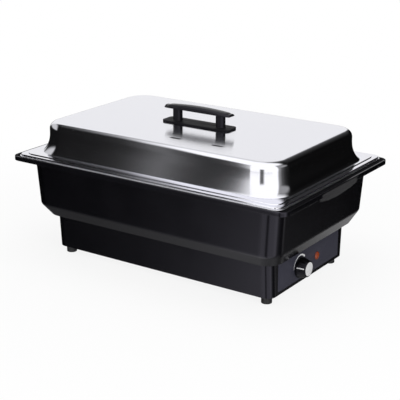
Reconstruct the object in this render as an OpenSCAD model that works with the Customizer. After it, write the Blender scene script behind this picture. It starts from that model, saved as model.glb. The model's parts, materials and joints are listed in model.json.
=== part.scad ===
// Electric chafing dish for one full-size catering pan, with a lift-off lid.
// Frame: origin under the middle of the dish at the height of the feet, +X to the control panel,
// -Y to the front long side, +Z up. Millimetres.

/* [Pans] */
// Length of the food pan over its flange
pan_len = 530; // [500:1:560]
// Width of the food pan over its flange
pan_wid = 325; // [305:1:345]
// Inside depth of the food pan
pan_depth = 65; // [55:1:72]
// Width of the food pan's flange
pan_flange = 12; // [9:0.5:15]
// Corner radius of the food pan's flange
pan_flange_r = 14; // [8:1:20]
// Corner radius of both pans' walls
pan_wall_r = 38; // [30:1:46]
// Amount by which the pan walls lean in from top to floor
pan_draft = 8; // [4:0.5:12]
// Radius between the pan walls and their floors
pan_floor_r = 12; // [6:1:18]
// Height of the food pan's turned-down edge
pan_edge_h = 2.8; // [1.8:0.1:3.4]
// Clearance between the food pan's walls and the water pan
well_gap = 3; // [1.5:0.5:5]
// Depth of the water space under the food pan
water_gap = 28; // [20:1:33]
// Sheet thickness of the pans and the lid
sheet = 0.8; // [0.6:0.1:1.2]

/* [Body] */
// Height of the feet
foot_h = 14; // [9:0.5:20]
// Diameter of the feet
foot_d = 19; // [15:0.5:24]
// Distance from the base's end to the feet's centres
foot_in_end = 18.4; // [16:0.1:26]
// Distance from the base's side to the feet's centres
foot_in_side = 17.3; // [15:0.1:26]
// Height of the upright base
base_h = 65.5; // [62:0.5:80]
// Corner radius of the base
base_r = 16; // [12:0.5:17.5]
// Amount by which the base's long sides lean in towards the floor
base_draft = 3.8; // [1:0.1:5]
// Width of the level step above the base
ledge_w = 12.6; // [10:0.1:16]
// Height of the sloping band above the base
band_h = 23.2; // [18:0.1:30]
// Amount by which the sloping band leans in at the ends
band_in_end = 11.5; // [8:0.1:16]
// Amount by which the sloping band leans in at the long sides
band_in_side = 16.6; // [10:0.1:20]
// Height of the wall between the sloping band and the rim's lower edge
skirt_h = 84.8; // [80:0.1:100]
// Corner radius of the wall
skirt_r = 28; // [22:1:34]
// Amount by which the end walls lean in towards the sloping band
skirt_draft_end = 6.3; // [2:0.1:7]
// Amount by which the long walls lean in towards the sloping band
skirt_draft_side = 2.9; // [1:0.1:6]
// Reach of the wall's top beyond the food pan at the ends
skirt_over_end = 1.2; // [0:0.1:6]
// Reach of the wall's top beyond the food pan at the long sides
skirt_over_side = 3.9; // [1:0.1:8]
// Height of the rim's outer face
rim_h = 8.1; // [6.5:0.1:12]
// Reach of the rim beyond the wall at the ends
rim_over_end = 26.3; // [24:0.1:34]
// Reach of the rim beyond the wall at the long sides
rim_over_side = 21.3; // [19:0.1:28]
// Corner radius of the rim
rim_r = 18; // [14:1:24]
// Rounding of the rim's top edge
rim_round = 1.5; // [0.5:0.1:2]
// Wall thickness of the moulded body
wall = 3; // [2.6:0.1:3.6]
// Thickness of the plate under the base
floor_t = 1.2; // [0.8:0.1:2]

/* [Carry grips] */
// Width of a carry grip
grip_w = 132; // [100:1:160]
// Depth of a carry grip at its middle, from the rim's lower edge
grip_drop = 15; // [10:0.5:22]
// Depth of a carry grip at its ends, from the rim's lower edge
grip_end_drop = 7; // [4:0.5:9]
// Amount by which a grip's face leans in towards its lower edge
grip_lean = 6; // [2:0.5:8]

/* [Lid] */
// Height of the lid's turned-down edge
lid_edge_h = 5; // [4.4:0.1:7]
// Rounding of the lid's edge
lid_round = 4; // [2:0.1:4.2]
// Distance from the rim's outer face to the lid's edge at the ends
lid_in_end = 14; // [6:0.1:15]
// Distance from the rim's outer face to the lid's edge at the long sides
lid_in_side = 5.4; // [3.5:0.1:9]
// Corner radius of the lid's edge
lid_edge_r = 14; // [10:1:18]
// Distance by which the dome's foot lies inside the food pan's length, at each end
dome_in_end = 0.5; // [0:0.1:6]
// Distance by which the dome's foot lies inside the food pan's width, at each side
dome_in_side = 2; // [0:0.1:6]
// Height of the dome above the lid's flange
dome_h = 55; // [45:0.5:75]
// Corner radius of the dome
dome_r = 50; // [44:1:60]
// Amount by which the flared end walls of the dome lean in
flare_end = 13; // [6:0.5:18]
// Amount by which the flared long walls of the dome lean in
flare_side = 10; // [6:0.5:16]
// Rounding between the dome's walls and its top
shoulder_r = 13; // [8:0.5:18]
// Length of a steam slot
slot_len = 23; // [14:0.5:30]
// Width of a steam slot
slot_w = 4; // [2.5:0.1:6]
// Distance of the steam slots from the lid's middle, towards the front
slot_y = 100; // [80:1:112]
// Distance of the nearer steam slot from the lid's middle
slot_x = 19; // [14:1:30]
// Distance between the two steam slots
slot_pitch = 87; // [60:1:120]

/* [Lid handle] */
// Length of the handle's base plate
plate_len = 145; // [130:1:170]
// Width of the handle's base plate
plate_wid = 36; // [28:1:46]
// Thickness of the handle's base plate
plate_t = 3; // [2:0.1:5]
// Distance between the handle's posts
post_pitch = 94; // [80:1:104]
// Length of a post's section along the handle
post_len = 17; // [12:0.5:18]
// Width of a post's section across the handle
post_wid = 12; // [9:0.5:14]
// Clear height between the base plate and the grip bar
finger_h = 22; // [16:0.5:30]
// Length of the grip bar
bar_len = 142; // [140:1:175]
// Width of the grip bar
bar_wid = 22; // [18:0.5:28]
// Thickness of the grip bar at its middle
bar_t = 9; // [8:0.5:15]
// Height of the grip bar's upright edge
bar_edge = 5.6; // [5:0.1:8]
// Drop of the grip bar's top from the middle towards its ends
bar_arch = 4; // [2:0.1:5]

/* [Control panel] */
// Width of the panel's face
panel_w = 216; // [180:1:218]
// Height of the panel's face
panel_h = 52; // [46:0.5:54]
// Height of the panel's lower edge above the base's lower edge
panel_up = 6; // [5:0.1:8]
// Thickness of the panel
panel_t = 2.5; // [2:0.1:3]
// Amount by which the panel stands out of the base
panel_proud = 0.4; // [0:0.1:1]
// Distance of the knob from the panel's middle, towards the front
knob_y = 34; // [28:0.5:50]
// Height of the knob's axis above the panel's lower edge
knob_up = 23; // [21:0.5:29]
// Diameter of the knob at its base
knob_d = 38; // [34:0.5:41]
// Diameter of the knob at its face
knob_face_d = 29; // [27:0.5:33]
// Distance of the knob's face from the panel
knob_h = 18.5; // [16.5:0.5:24]
// Diameter of the silver disc in the knob
cap_d = 25; // [20:0.5:26]
// Diameter of the thermostat's shaft
shaft_d = 6; // [5:0.1:6.4]
// Distance of the pilot lamp from the panel's middle, towards the rear
lamp_y = 27; // [20:0.5:60]
// Height of the pilot lamp above the panel's lower edge
lamp_up = 25; // [20:0.5:30]
// Diameter of the pilot lamp's lens
lamp_d = 14.5; // [14:0.5:20]

/* [Heating] */
// Diameter of the heating element
element_d = 8; // [6:0.1:9]
// Distance from the element's middle line to its straight runs
element_y = 80; // [70:1:100]
// Distance from the middle to the element's bend
element_bend_x = 130; // [110:1:140]
// Distance from the middle to where the element turns down
element_leg_x = 150; // [125:1:160]
// Distance between neighbouring element clamps
clamp_pitch = 100; // [70:1:110]
// Diameter of the bore for the supply cord
cord_bore_d = 8; // [6:0.1:10]
// Distance of the cord gland from the middle, towards the panel
gland_x = 150; // [135:1:165]

/* [Clearances] */
// Gap round a piece set into another
fit = 0.4; // [0.2:0.05:0.6]
// Running clearance of the thermostat's shaft, on the radius
shaft_gap = 0.05; // [0.02:0.01:0.1]
// Gap between a screw's shank and its hole, on the radius
screw_gap = 0.1; // [0.05:0.05:0.3]
// Gap between the knob and the panel
knob_gap = 1; // [0.5:0.1:1.5]

/* [Hidden] */
$fn = 48;
corner_steps = 8;
eps = 0.01;
all_round = [1, 1];

// Levels, from the floor up
z_base = foot_h;
z_floor = z_base + floor_t;
z_ledge = z_base + base_h;
z_band = z_ledge + band_h;
z_rim = z_band + skirt_h;
z_seat = z_rim + rim_h;
z_well = z_seat + sheet;
z_pan = z_well + pan_edge_h;
z_flange = z_well + lid_edge_h;
z_lid = z_flange + dome_h;
z_grip = z_lid + plate_t + finger_h;
z_food_floor = z_pan - pan_depth;
z_well_floor = z_food_floor - sheet - water_gap;
z_under = z_well_floor - sheet;

// Half lengths and half widths of the body's outlines; the inset keeps the sloping band's wall even
band_foot_in = 0.6 * wall;
pan_half = [pan_len, pan_wid] / 2;
skirt_top = pan_half + [skirt_over_end, skirt_over_side];
skirt_low = skirt_top - [skirt_draft_end, skirt_draft_side];
ledge_out = skirt_low - [band_in_end, band_in_side];
ledge_in = ledge_out - band_foot_in * all_round;
base_top = ledge_out - ledge_w * all_round;
base_low = base_top - [0, base_draft];
rim_half = skirt_top + [rim_over_end, rim_over_side];

// Half sizes of the pans and the lid
food_top = pan_half - pan_flange * all_round;
food_low = food_top - pan_draft * all_round;
well_top = food_top + well_gap * all_round;
well_low = well_top - pan_draft * all_round;
lid_half = rim_half - [lid_in_end, lid_in_side];
well_show = 2.5;
well_flange = lid_half + well_show * all_round;
dome_half = pan_half - [dome_in_end, dome_in_side];

// Fasteners: shank radius, head radius, head height
screw_small = [1.3, 2.4, 1.6];
screw_medium = [1.7, 3.2, 2.2];
screw_large = [2.2, 4.2, 2.8];
stud_r = 2.5;
nut_r = 4.6;
nut_h = 4;

// Depth of a blind hole in the body's wall, and of the thread in it
blind_hole = 0.8 * wall;
blind_thread = 0.7 * wall;

// Rim studs of the water pan, in the middle of the rim's channel
rim_stud_pitch = 180;
rim_stud_x = [-rim_stud_pitch, 0, rim_stud_pitch];
rim_stud_y = skirt_top[1] + (rim_over_side - wall) / 2;
rim_stud_r = 2;
rim_nut_r = 4;
rim_nut_h = 3;
rim_stud_end = 1;

// Feet and the bosses that carry them
foot_x = base_low[0] - foot_in_end;
foot_y = base_low[1] - foot_in_side;
foot_boss_r = 6;
foot_boss_h = 24;
foot_recess_r = 5.4;
foot_top_t = 5;
foot_recess_h = foot_h - foot_top_t;
foot_thread = 14;
boss_top_t = 4;
rib_t = 2.5;

// Bottom plate and its screws
floor_half = base_low - (wall + fit) * all_round;
floor_screw_x = 99;
floor_screw_in = 3.5;
floor_screw_y = base_low[1] - wall - floor_screw_in;
floor_boss_r = 5;
floor_boss_h = 20;
floor_thread = 12;

// Control panel
x_end = base_low[0];
x_inner = x_end - wall;
x_panel = x_end + panel_proud;
x_mount = x_panel - panel_t;
z_panel = z_base + panel_up;
panel_corner_r = 3;
panel_border = 3;
panel_tab_t = 2;
x_panel_back = x_inner - panel_tab_t;
panel_tab_w = 24;
panel_tab_in = 20;
panel_tab_y = panel_w / 2 - panel_tab_in;
panel_tab_low = 3;
panel_tab_top = base_h - panel_up - panel_h - fit;
z_panel_screw = z_panel + panel_h + panel_tab_top / 2;
z_knob = z_panel + knob_up;
z_lamp = z_panel + lamp_up;

// Thermostat and knob
shaft_r = shaft_d / 2;
bush_r = shaft_r + 2;
bush_out = 5;
bush_nut_r = bush_r + 3;
bush_nut_h = 3;
thermostat_size = [32, 40, 38];
shaft_deep = 12;
shaft_end_gap = 0.2;
knob_cavity_r = bush_nut_r + 1.4;
knob_cavity_h = bush_out + 2;
knob_edge = 1;
cap_t = 1;
cap_proud = 0.2;
cap_gap = 0.1;
shaft_top_gap = 0.3;
knob_web = 1.5;
pointer_w = 2;
pointer_t = 1;
pointer_proud = 0.15;
pointer_in = 0.6;
pointer_turn = 15;
knob_rim_h = 2.2;

// Pilot lamp
lamp_barrel_r = lamp_d / 2 - 2;
lamp_dome_h = 3.4;
lamp_flange_h = 1;
lamp_edge = 0.6;
lamp_barrel_len = 6;
lamp_nut_r = lamp_d / 2 + 1;
lamp_nut_h = 3;
lamp_body_len = 26;
lamp_body_r = lamp_barrel_r + 0.5;
lamp_tag = 3;

// Heating element
element_r = element_d / 2;
element_gap = 0.2;
z_element = z_under - element_gap - element_r;
leg_bend_r = 16;
leg_x = element_leg_x + leg_bend_r;
z_shield = z_ledge + wall;
leg_under_shield = 16;
z_leg_end = z_shield - leg_under_shield;
clamp_x = [-clamp_pitch, 0, clamp_pitch];
clamp_t = 2;
clamp_w = 16;
clamp_over = 10;
z_clamp = z_element - element_r - clamp_t;
clamp_stud_in = 30;
clamp_stud_y = element_y - clamp_stud_in;
stud_end = 2;

// Thermostat bulb, its saddle and its capillary
bulb_r = 3;
bulb_len = 90;
z_bulb = z_under - element_gap - bulb_r;
capillary_r = 1;
capillary_bend = 4;
capillary_over = 8;
capillary_back = 11;
capillary_x = x_mount - thermostat_size[0] - capillary_back;
capillary_hole_r = capillary_r + 3;
saddle_size = [14, 12];

// Heat shield
shield_lap = 6.5;
shield_half = base_top + (shield_lap - wall) * all_round;
shield_hole_r = element_r + 3;
shield_screw_in = 3.3;
shield_screw_y = 60;
shield_screw = [shield_half[0] - shield_screw_in, shield_screw_y];

// Thermal cut-out
cutout_at = [clamp_pitch / 2, -28];
cutout_plate = [30, 14, 1.2];
cutout_r = 8;
cutout_h = 9;
cutout_shift = 5;
cutout_stud_x = cutout_shift - cutout_plate[0] / 2;
cutout_stud_len = cutout_plate[2] + nut_h + stud_end;

// Supply connection
gland_up = 31;
z_gland = z_base + gland_up;
pad_proud = 0.5;
pad_inside = 1;
pad_border = 3;
y_pad_out = base_top[1] + pad_proud;
y_pad_in = base_low[1] - wall - pad_inside;
gland_wall = 4;
gland_barrel_r = cord_bore_d / 2 + gland_wall;
gland_flange_w = 4;
gland_flange_r = gland_barrel_r + gland_flange_w;
gland_flange_h = 3.5;
pad_r = gland_flange_r + pad_border;
gland_nut_h = 5;
gland_nut_r = gland_barrel_r + gland_flange_w;
gland_inside = 4;
block_size = [44, 20, 16];
block_back = 24;
block_screw_in = 4.4;
block_screw_x = block_size[0] / 2 - block_screw_in;
block_screw_end = 1.5;
y_block = y_pad_in - gland_nut_h - gland_inside - block_back;
wire_r = 1.2;
wire_sides = 8;
wire_out = 6;
wire_side = 8;
wire_back = 14;
wire_step = 4;
terminal_pitch = 8.8;

// Handle
bar_half = bar_len / 2;
bar_tip = 0.8;
bar_tip_from = 0.85;
bar_tip_to = 0.925;
bar_tip_h = 3.4;
bar_tip_steps = 4;
bar_mid_steps = 6;
bar_flat = 0.25;
bar_shoulder = 0.62;
bar_shoulder_drop = 0.8;
bar_tip_edge = 1.5;
plate_r = 9;
post_top_t = 4;
handle_screw = screw_medium;
handle_screw_deep = finger_h - post_top_t;
washer_r = 8;
washer_t = 1.2;

// A rounded rectangle of points at height z, anticlockwise seen from above
function ring(half, r, z) = [
    for (q = [0:3]) for (i = [0:corner_steps])
        let (a = 90 * (q + i / corner_steps),
             sx = q == 0 || q == 3 ? 1 : -1,
             sy = q < 2 ? 1 : -1)
        [sx * (half[0] - r) + r * cos(a), sy * (half[1] - r) + r * sin(a), z]
];

// Rings of a wall's foot: a quarter round from the floor at height z up into the wall
function floor_rings(half, corner_r, fillet, z) = [
    for (i = [0:3])
        let (in = fillet * (1 - sin(30 * i)), up = fillet * (1 - cos(30 * i)))
        ring(half - in * all_round, corner_r - in / 2, z + up)
];

function reversed(list) = [for (i = [len(list) - 1:-1:0]) list[i]];
function unit(v) = v / norm(v);

// A solid through rings of equal count, capped at both ends or joined end to end
module loft(rings, joined = false) {
    n = len(rings[0]);
    m = len(rings);
    sides = [
        for (i = [0:joined ? m - 1 : m - 2]) for (j = [0:n - 1])
            let (a = i * n + j, b = i * n + (j + 1) % n, next = (i + 1) % m * n)
            each [[a, next + j, next + (j + 1) % n], [a, next + (j + 1) % n, b]]
    ];
    caps = joined ? [] : [[for (j = [0:n - 1]) j], [for (j = [n - 1:-1:0]) (m - 1) * n + j]];
    polyhedron([for (r = rings) each r], concat(sides, caps));
}

// Frames and rings of a tube along points
function tangent(p, i) = unit(
    (i < len(p) - 1 ? unit(p[i + 1] - p[i]) : [0, 0, 0])
    + (i > 0 ? unit(p[i] - p[i - 1]) : [0, 0, 0]));
function across(p, i) =
    let (t = tangent(p, i),
         s = i > 0 ? across(p, i - 1) : cross(t, abs(t[2]) < 0.9 ? [0, 0, 1] : [1, 0, 0]))
    unit(s - (s * t) * t);
function tube_rings(p, r) = [
    for (i = [0:len(p) - 1])
        let (s = across(p, i), n = cross(tangent(p, i), s))
        [for (k = [0:wire_sides - 1])
            let (a = 360 * k / wire_sides)
            p[i] + r * (cos(a) * s + sin(a) * n)]
];
module tube(points, r) { loft(tube_rings(points, r)); }

// A flat rounded rectangle
module rounded(w, h, r) {
    square([w - 2 * r, h], center = true);
    square([w, h - 2 * r], center = true);
    for (x = [-1, 1], y = [-1, 1]) translate([x * (w / 2 - r), y * (h / 2 - r)]) circle(r);
}

// Solids along the axes
module along_x(x, len) { translate([x, 0, 0]) rotate([90, 0, 90]) linear_extrude(len) children(); }
module rod_x(x, y, z, r, len) { translate([x, y, z]) rotate([0, 90, 0]) cylinder(r = r, h = len); }
module rod_y(x, y, z, r, len) { translate([x, y, z]) rotate([-90, 0, 0]) cylinder(r = r, h = len); }
module four(x, y) { for (sx = [-1, 1], sy = [-1, 1]) translate([sx * x, sy * y, 0]) children(); }

// A cross-head screw whose head sits on z = 0 and whose shank goes up
module screw(kind, len) {
    slot = 0.35 * kind[1];
    difference() {
        union() {
            translate([0, 0, -kind[2]]) cylinder(r = kind[1], h = kind[2]);
            translate([0, 0, -kind[2] / 2]) cylinder(r = kind[0], h = len + kind[2] / 2);
        }
        for (turn = [0, 90]) rotate(turn) translate([0, 0, -kind[2]])
            cube([1.3 * kind[1], slot, kind[2]], center = true);
    }
}

// A hexagon nut that hangs from z = 0
module nut(r, h, bore) {
    translate([0, 0, -h]) difference() {
        cylinder(r = r, h = h, $fn = 6);
        translate([0, 0, -1]) cylinder(r = bore, h = h + 2);
    }
}

// Body
function body_rings() = concat(
    [
        ring(base_low, base_r, z_base),
        ring(base_top, base_r, z_ledge),
        ring(ledge_out, skirt_r, z_ledge),
        ring(skirt_low, skirt_r, z_band),
        ring(skirt_top, skirt_r, z_seat - wall),
        ring(rim_half - wall * all_round, rim_r - wall, z_seat - wall),
        ring(rim_half - wall * all_round, rim_r - wall, z_rim),
        ring(rim_half, rim_r, z_rim)
    ],
    [for (a = [0:30:90]) let (in = rim_round * (1 - cos(a)))
        ring(rim_half - in * all_round, rim_r - in, z_seat - rim_round * (1 - sin(a)))],
    [
        ring(skirt_top - wall * all_round, skirt_r - wall, z_seat),
        ring(skirt_low - wall * all_round, skirt_r - wall, z_band),
        ring(ledge_in, skirt_r - wall, z_ledge + wall),
        ring(base_top - wall * all_round, base_r - wall, z_ledge + wall),
        ring(base_low - wall * all_round, base_r - wall, z_base)
    ]);

// Outline of a carry grip seen from its end: straight ends and a bowed lower edge
module grip_outline(in) {
    half = grip_w / 2 - in;
    bow = grip_drop - grip_end_drop;
    bow_r = (half * half + bow * bow) / (2 * bow);
    intersection() {
        translate([-half, z_rim - grip_drop + in])
            square([2 * half, z_seat - rim_round - z_rim + grip_drop - in]);
        translate([0, z_rim - grip_drop + in + bow_r]) circle(bow_r, $fn = 96);
    }
}

// A carry grip: a leaning apron under the rim's upper edge, with a web to the wall at each end
grip_lean_low = grip_lean * (grip_drop + rim_h / 2) / grip_drop;
module carry_grip() {
    top = z_seat - rim_round;
    low = z_rim - grip_drop;
    x_top = rim_half[0];
    x_wall = skirt_top[0] - wall / 2;
    lean_at = grip_lean_low;
    spare = wall / 4;
    intersection() {
        union() {
            translate([0, grip_w / 2, 0]) rotate([90, 0, 0]) linear_extrude(grip_w) polygon([
                [x_top + spare, top], [x_top - lean_at + spare, low], [x_top - lean_at - wall, low],
                [x_top - wall, top]
            ]);
            for (s = [-1, 1]) translate([x_wall, s * (grip_w - wall) / 2 - wall / 2, low])
                cube([x_top - x_wall - lean_at - wall / 2, wall, top - low]);
        }
        along_x(x_wall - 1, rim_over_end + 2 * wall) grip_outline(0);
    }
}

// What is cut away so that the rim leans with the grip's face
module grip_face() {
    top = z_seat - rim_round;
    low = z_rim - grip_drop;
    slope = grip_lean_low / (top - low);
    translate([0, grip_w / 2 + eps, 0]) rotate([90, 0, 0]) linear_extrude(grip_w + 2 * eps) polygon([
        [rim_half[0], top], [rim_half[0] + wall, top], [rim_half[0] + wall, low - 1],
        [rim_half[0] - slope * (top - low + 1), low - 1]
    ]);
}

module foot_boss() {
    translate([0, 0, z_floor]) cylinder(r = foot_boss_r, h = foot_boss_h);
    translate([-rib_t / 2, 0, z_floor]) cube([rib_t, foot_in_side - wall / 2, foot_boss_h]);
}

module body_shell() {
    color([0.07, 0.07, 0.08]) difference() {
        union() {
            loft(body_rings(), joined = true);
            for (s = [0, 1]) mirror([s, 0, 0]) carry_grip();
            for (sx = [-1, 1], s = [0, 1]) mirror([0, s, 0]) translate([sx * foot_x, foot_y, 0])
                foot_boss();
            four(floor_screw_x, floor_screw_y) translate([0, 0, z_floor])
                cylinder(r = floor_boss_r, h = floor_boss_h);
            rod_y(gland_x, y_pad_in, z_gland, pad_r, y_pad_out - y_pad_in);
        }
        for (s = [0, 1]) mirror([s, 0, 0]) grip_face();
        along_x(x_inner - wall, 2 * wall + 1) translate([0, z_panel + panel_h / 2])
            rounded(panel_w, panel_h, panel_corner_r);
        for (s = [-1, 1])
            rod_x(x_inner - 1, s * panel_tab_y, z_panel_screw, screw_small[0] + screw_gap, blind_hole + 1);
        four(foot_x, foot_y) translate([0, 0, z_floor - 1])
            cylinder(r = screw_large[0] + screw_gap, h = foot_boss_h - boss_top_t + 1);
        four(floor_screw_x, floor_screw_y) translate([0, 0, z_floor - 1])
            cylinder(r = screw_medium[0] + screw_gap, h = floor_boss_h - boss_top_t + 1);
        for (x = rim_stud_x, s = [-1, 1]) translate([x, s * rim_stud_y, z_seat - wall - 1])
            cylinder(r = rim_stud_r + screw_gap, h = wall + 2);
        rod_y(gland_x, y_pad_in - 1, z_gland, gland_barrel_r + screw_gap, y_pad_out - y_pad_in + 2);
        four(shield_screw[0], shield_screw[1]) translate([0, 0, z_shield - blind_hole])
            cylinder(r = screw_small[0] + screw_gap, h = wall);
    }
}

// Pans: outside up, over the flange and down the inside
module water_pan() {
    flange_r = lid_edge_r + well_show;
    rings = concat(
        floor_rings(well_low + sheet * all_round, pan_wall_r, pan_floor_r + sheet, z_under),
        [
            ring(well_top + sheet * all_round, pan_wall_r + sheet, z_seat),
            ring(well_flange, flange_r, z_seat),
            ring(well_flange, flange_r, z_well),
            ring(well_top, pan_wall_r, z_well)
        ],
        reversed(floor_rings(well_low, pan_wall_r - sheet, pan_floor_r, z_well_floor)));
    stud_len = z_under - z_clamp + nut_h + stud_end;
    color([0.75, 0.76, 0.78]) union() {
        loft(rings);
        for (x = clamp_x, s = [-1, 1]) translate([x, s * clamp_stud_y, z_under - stud_len])
            cylinder(r = stud_r, h = stud_len + sheet / 2);
        translate([cutout_at[0] + cutout_stud_x, cutout_at[1], z_under - cutout_stud_len])
            cylinder(r = stud_r, h = cutout_stud_len + sheet / 2);
        for (x = rim_stud_x, s = [-1, 1])
            translate([x, s * rim_stud_y, z_seat - wall - rim_nut_h - rim_stud_end])
                cylinder(r = rim_stud_r, h = wall + rim_nut_h + rim_stud_end + sheet / 2);
    }
}

module food_pan() {
    rings = concat(
        floor_rings(food_low, pan_wall_r, pan_floor_r + sheet, z_food_floor - sheet),
        [
            ring(food_top, pan_wall_r, z_pan - sheet),
            ring(pan_half - sheet * all_round, pan_flange_r - sheet, z_pan - sheet),
            ring(pan_half - sheet * all_round, pan_flange_r - sheet, z_well),
            ring(pan_half, pan_flange_r, z_well)
        ],
        [for (a = [0:45:90]) let (in = sheet * (1 - cos(a)))
            ring(pan_half - in * all_round, pan_flange_r - in, z_pan - sheet * (1 - sin(a)))],
        [ring(food_top - sheet * all_round, pan_wall_r - sheet, z_pan)],
        reversed(floor_rings(food_low - sheet * all_round, pan_wall_r - sheet, pan_floor_r, z_food_floor)));
    color([0.78, 0.79, 0.81]) loft(rings);
}

// Fixings of the water pan and the element
module rim_nuts() {
    color("silver") for (x = rim_stud_x, s = [-1, 1]) translate([x, s * rim_stud_y, z_seat - wall])
        nut(rim_nut_r, rim_nut_h, rim_stud_r + screw_gap);
}

module heating_element() {
    color([0.35, 0.35, 0.36]) union() {
        translate([-element_bend_x, 0, z_element]) rotate([0, 0, 90]) rotate_extrude(angle = 180)
            translate([element_y, 0]) circle(element_r);
        for (s = [-1, 1]) {
            rod_x(-element_bend_x, s * element_y, z_element, element_r, element_bend_x + element_leg_x);
            translate([element_leg_x, s * element_y, z_element - leg_bend_r]) rotate([90, 0, 0])
                rotate_extrude(angle = 90) translate([leg_bend_r, 0]) circle(element_r);
            translate([leg_x, s * element_y, z_leg_end])
                cylinder(r = element_r, h = z_element - leg_bend_r - z_leg_end);
        }
    }
}

module element_clamps() {
    color("silver") for (x = clamp_x) difference() {
        translate([x - clamp_w / 2, -element_y - clamp_over, z_clamp])
            cube([clamp_w, 2 * (element_y + clamp_over), clamp_t]);
        for (s = [-1, 1]) translate([x, s * clamp_stud_y, z_clamp - 1])
            cylinder(r = stud_r + screw_gap, h = clamp_t + 2);
    }
}

module clamp_nuts() {
    color("silver") {
        for (x = clamp_x, s = [-1, 1]) translate([x, s * clamp_stud_y, z_clamp])
            nut(nut_r, nut_h, stud_r + screw_gap);
        translate([cutout_at[0] + cutout_stud_x, cutout_at[1], z_under - cutout_plate[2]])
            nut(nut_r, nut_h, stud_r + screw_gap);
    }
}

module sensor_bulb() {
    bend = capillary_bend;
    x_turn = (leg_x + capillary_x) / 2 - 2 * bend;
    x_into = x_mount - thermostat_size[0] / 2;
    z_into = z_knob + thermostat_size[2] / 2;
    z_over = z_into + capillary_over;
    route = [
        [bulb_len / 2 - 1, 0, z_bulb],
        [x_turn, 0, z_bulb],
        [capillary_x - bend, -knob_y + 2 * bend, z_bulb - bend],
        [capillary_x, -knob_y, z_bulb - 2 * bend],
        [capillary_x, -knob_y, z_over + bend],
        [capillary_x + bend, -knob_y, z_over],
        [x_into - bend, -knob_y, z_over],
        [x_into, -knob_y, z_over - bend],
        [x_into, -knob_y, z_into]
    ];
    color([0.8, 0.5, 0.3]) union() {
        rod_x(-bulb_len / 2, 0, z_bulb, bulb_r, bulb_len);
        tube(route, capillary_r);
    }
}

module bulb_saddle() {
    color("silver") difference() {
        translate([-saddle_size[0] / 2, -saddle_size[1] / 2, z_clamp + clamp_t])
            cube([saddle_size[0], saddle_size[1], z_bulb - z_clamp - clamp_t]);
        rod_x(-bulb_len / 2, 0, z_bulb, bulb_r + screw_gap, bulb_len);
    }
}

module thermal_cutout() {
    z_plate = z_under - cutout_plate[2];
    color([0.85, 0.84, 0.8]) translate([cutout_at[0], cutout_at[1], z_plate]) difference() {
        union() {
            translate([-cutout_plate[0] / 2, -cutout_plate[1] / 2, 0]) cube(cutout_plate);
            translate([cutout_shift, 0, -cutout_h]) cylinder(r = cutout_r, h = cutout_h + eps);
        }
        translate([cutout_stud_x, 0, -1]) cylinder(r = stud_r + screw_gap, h = cutout_plate[2] + 2);
    }
}

module heat_shield() {
    color([0.7, 0.71, 0.72]) translate([0, 0, z_shield]) difference() {
        linear_extrude(sheet) rounded(2 * shield_half[0], 2 * shield_half[1], base_r);
        for (s = [-1, 1]) translate([leg_x, s * element_y, -1])
            cylinder(r = shield_hole_r, h = sheet + 2);
        translate([capillary_x, -knob_y, -1]) cylinder(r = capillary_hole_r, h = sheet + 2);
        four(shield_screw[0], shield_screw[1]) translate([0, 0, -1])
            cylinder(r = screw_small[0] + screw_gap, h = sheet + 2);
    }
}

module shield_screws() {
    color("silver") four(shield_screw[0], shield_screw[1]) translate([0, 0, z_shield + sheet])
        mirror([0, 0, 1]) screw(screw_small, sheet + blind_thread);
}

// Control panel and what it carries
module control_panel() {
    z_mid = z_panel + panel_h / 2;
    color([0.2, 0.2, 0.23]) difference() {
        union() {
            along_x(x_panel_back, x_panel - x_panel_back) translate([0, z_mid])
                rounded(panel_w - 2 * fit, panel_h - 2 * fit, panel_corner_r - fit);
            for (s = [-1, 1])
                translate([x_panel_back, s * panel_tab_y - panel_tab_w / 2, z_panel - panel_tab_low])
                    cube([panel_tab_t, panel_tab_w, panel_tab_low + panel_h + panel_tab_top]);
        }
        along_x(x_panel_back - 1, x_mount - x_panel_back + 1) translate([0, z_mid])
            rounded(panel_w - 2 * panel_border, panel_h - 2 * panel_border, panel_corner_r);
        rod_x(x_mount - 1, -knob_y, z_knob, bush_r + screw_gap, panel_t + 2);
        rod_x(x_mount - 1, lamp_y, z_lamp, lamp_barrel_r + screw_gap, panel_t + 2);
        for (s = [-1, 1]) rod_x(
            x_panel_back - 1, s * panel_tab_y, z_panel_screw, screw_small[0] + screw_gap, panel_tab_t + 2);
    }
}

module panel_screws() {
    color("silver") for (s = [-1, 1]) translate([x_panel_back, s * panel_tab_y, z_panel_screw])
        rotate([0, 90, 0]) screw(screw_small, panel_tab_t + blind_thread);
}

module thermostat() {
    size = thermostat_size;
    color([0.9, 0.88, 0.82]) difference() {
        union() {
            translate([x_mount - size[0], -knob_y - size[1] / 2, z_knob - size[2] / 2]) cube(size);
            rod_x(x_mount - eps, -knob_y, z_knob, bush_r, panel_t + bush_out);
        }
        rod_x(x_panel - shaft_deep, -knob_y, z_knob, shaft_r + shaft_gap, shaft_deep + bush_out + 1);
    }
}

module thermostat_nut() {
    color("silver") translate([x_panel + bush_nut_h, -knob_y, z_knob]) rotate([0, 90, 0])
        nut(bush_nut_r, bush_nut_h, bush_r + screw_gap);
}

module thermostat_shaft() {
    reach = knob_h - cap_t + cap_proud - knob_web - shaft_top_gap;
    deep = shaft_deep - shaft_end_gap;
    color("silver") rod_x(x_panel - deep, -knob_y, z_knob, shaft_r, deep + reach);
}

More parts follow.
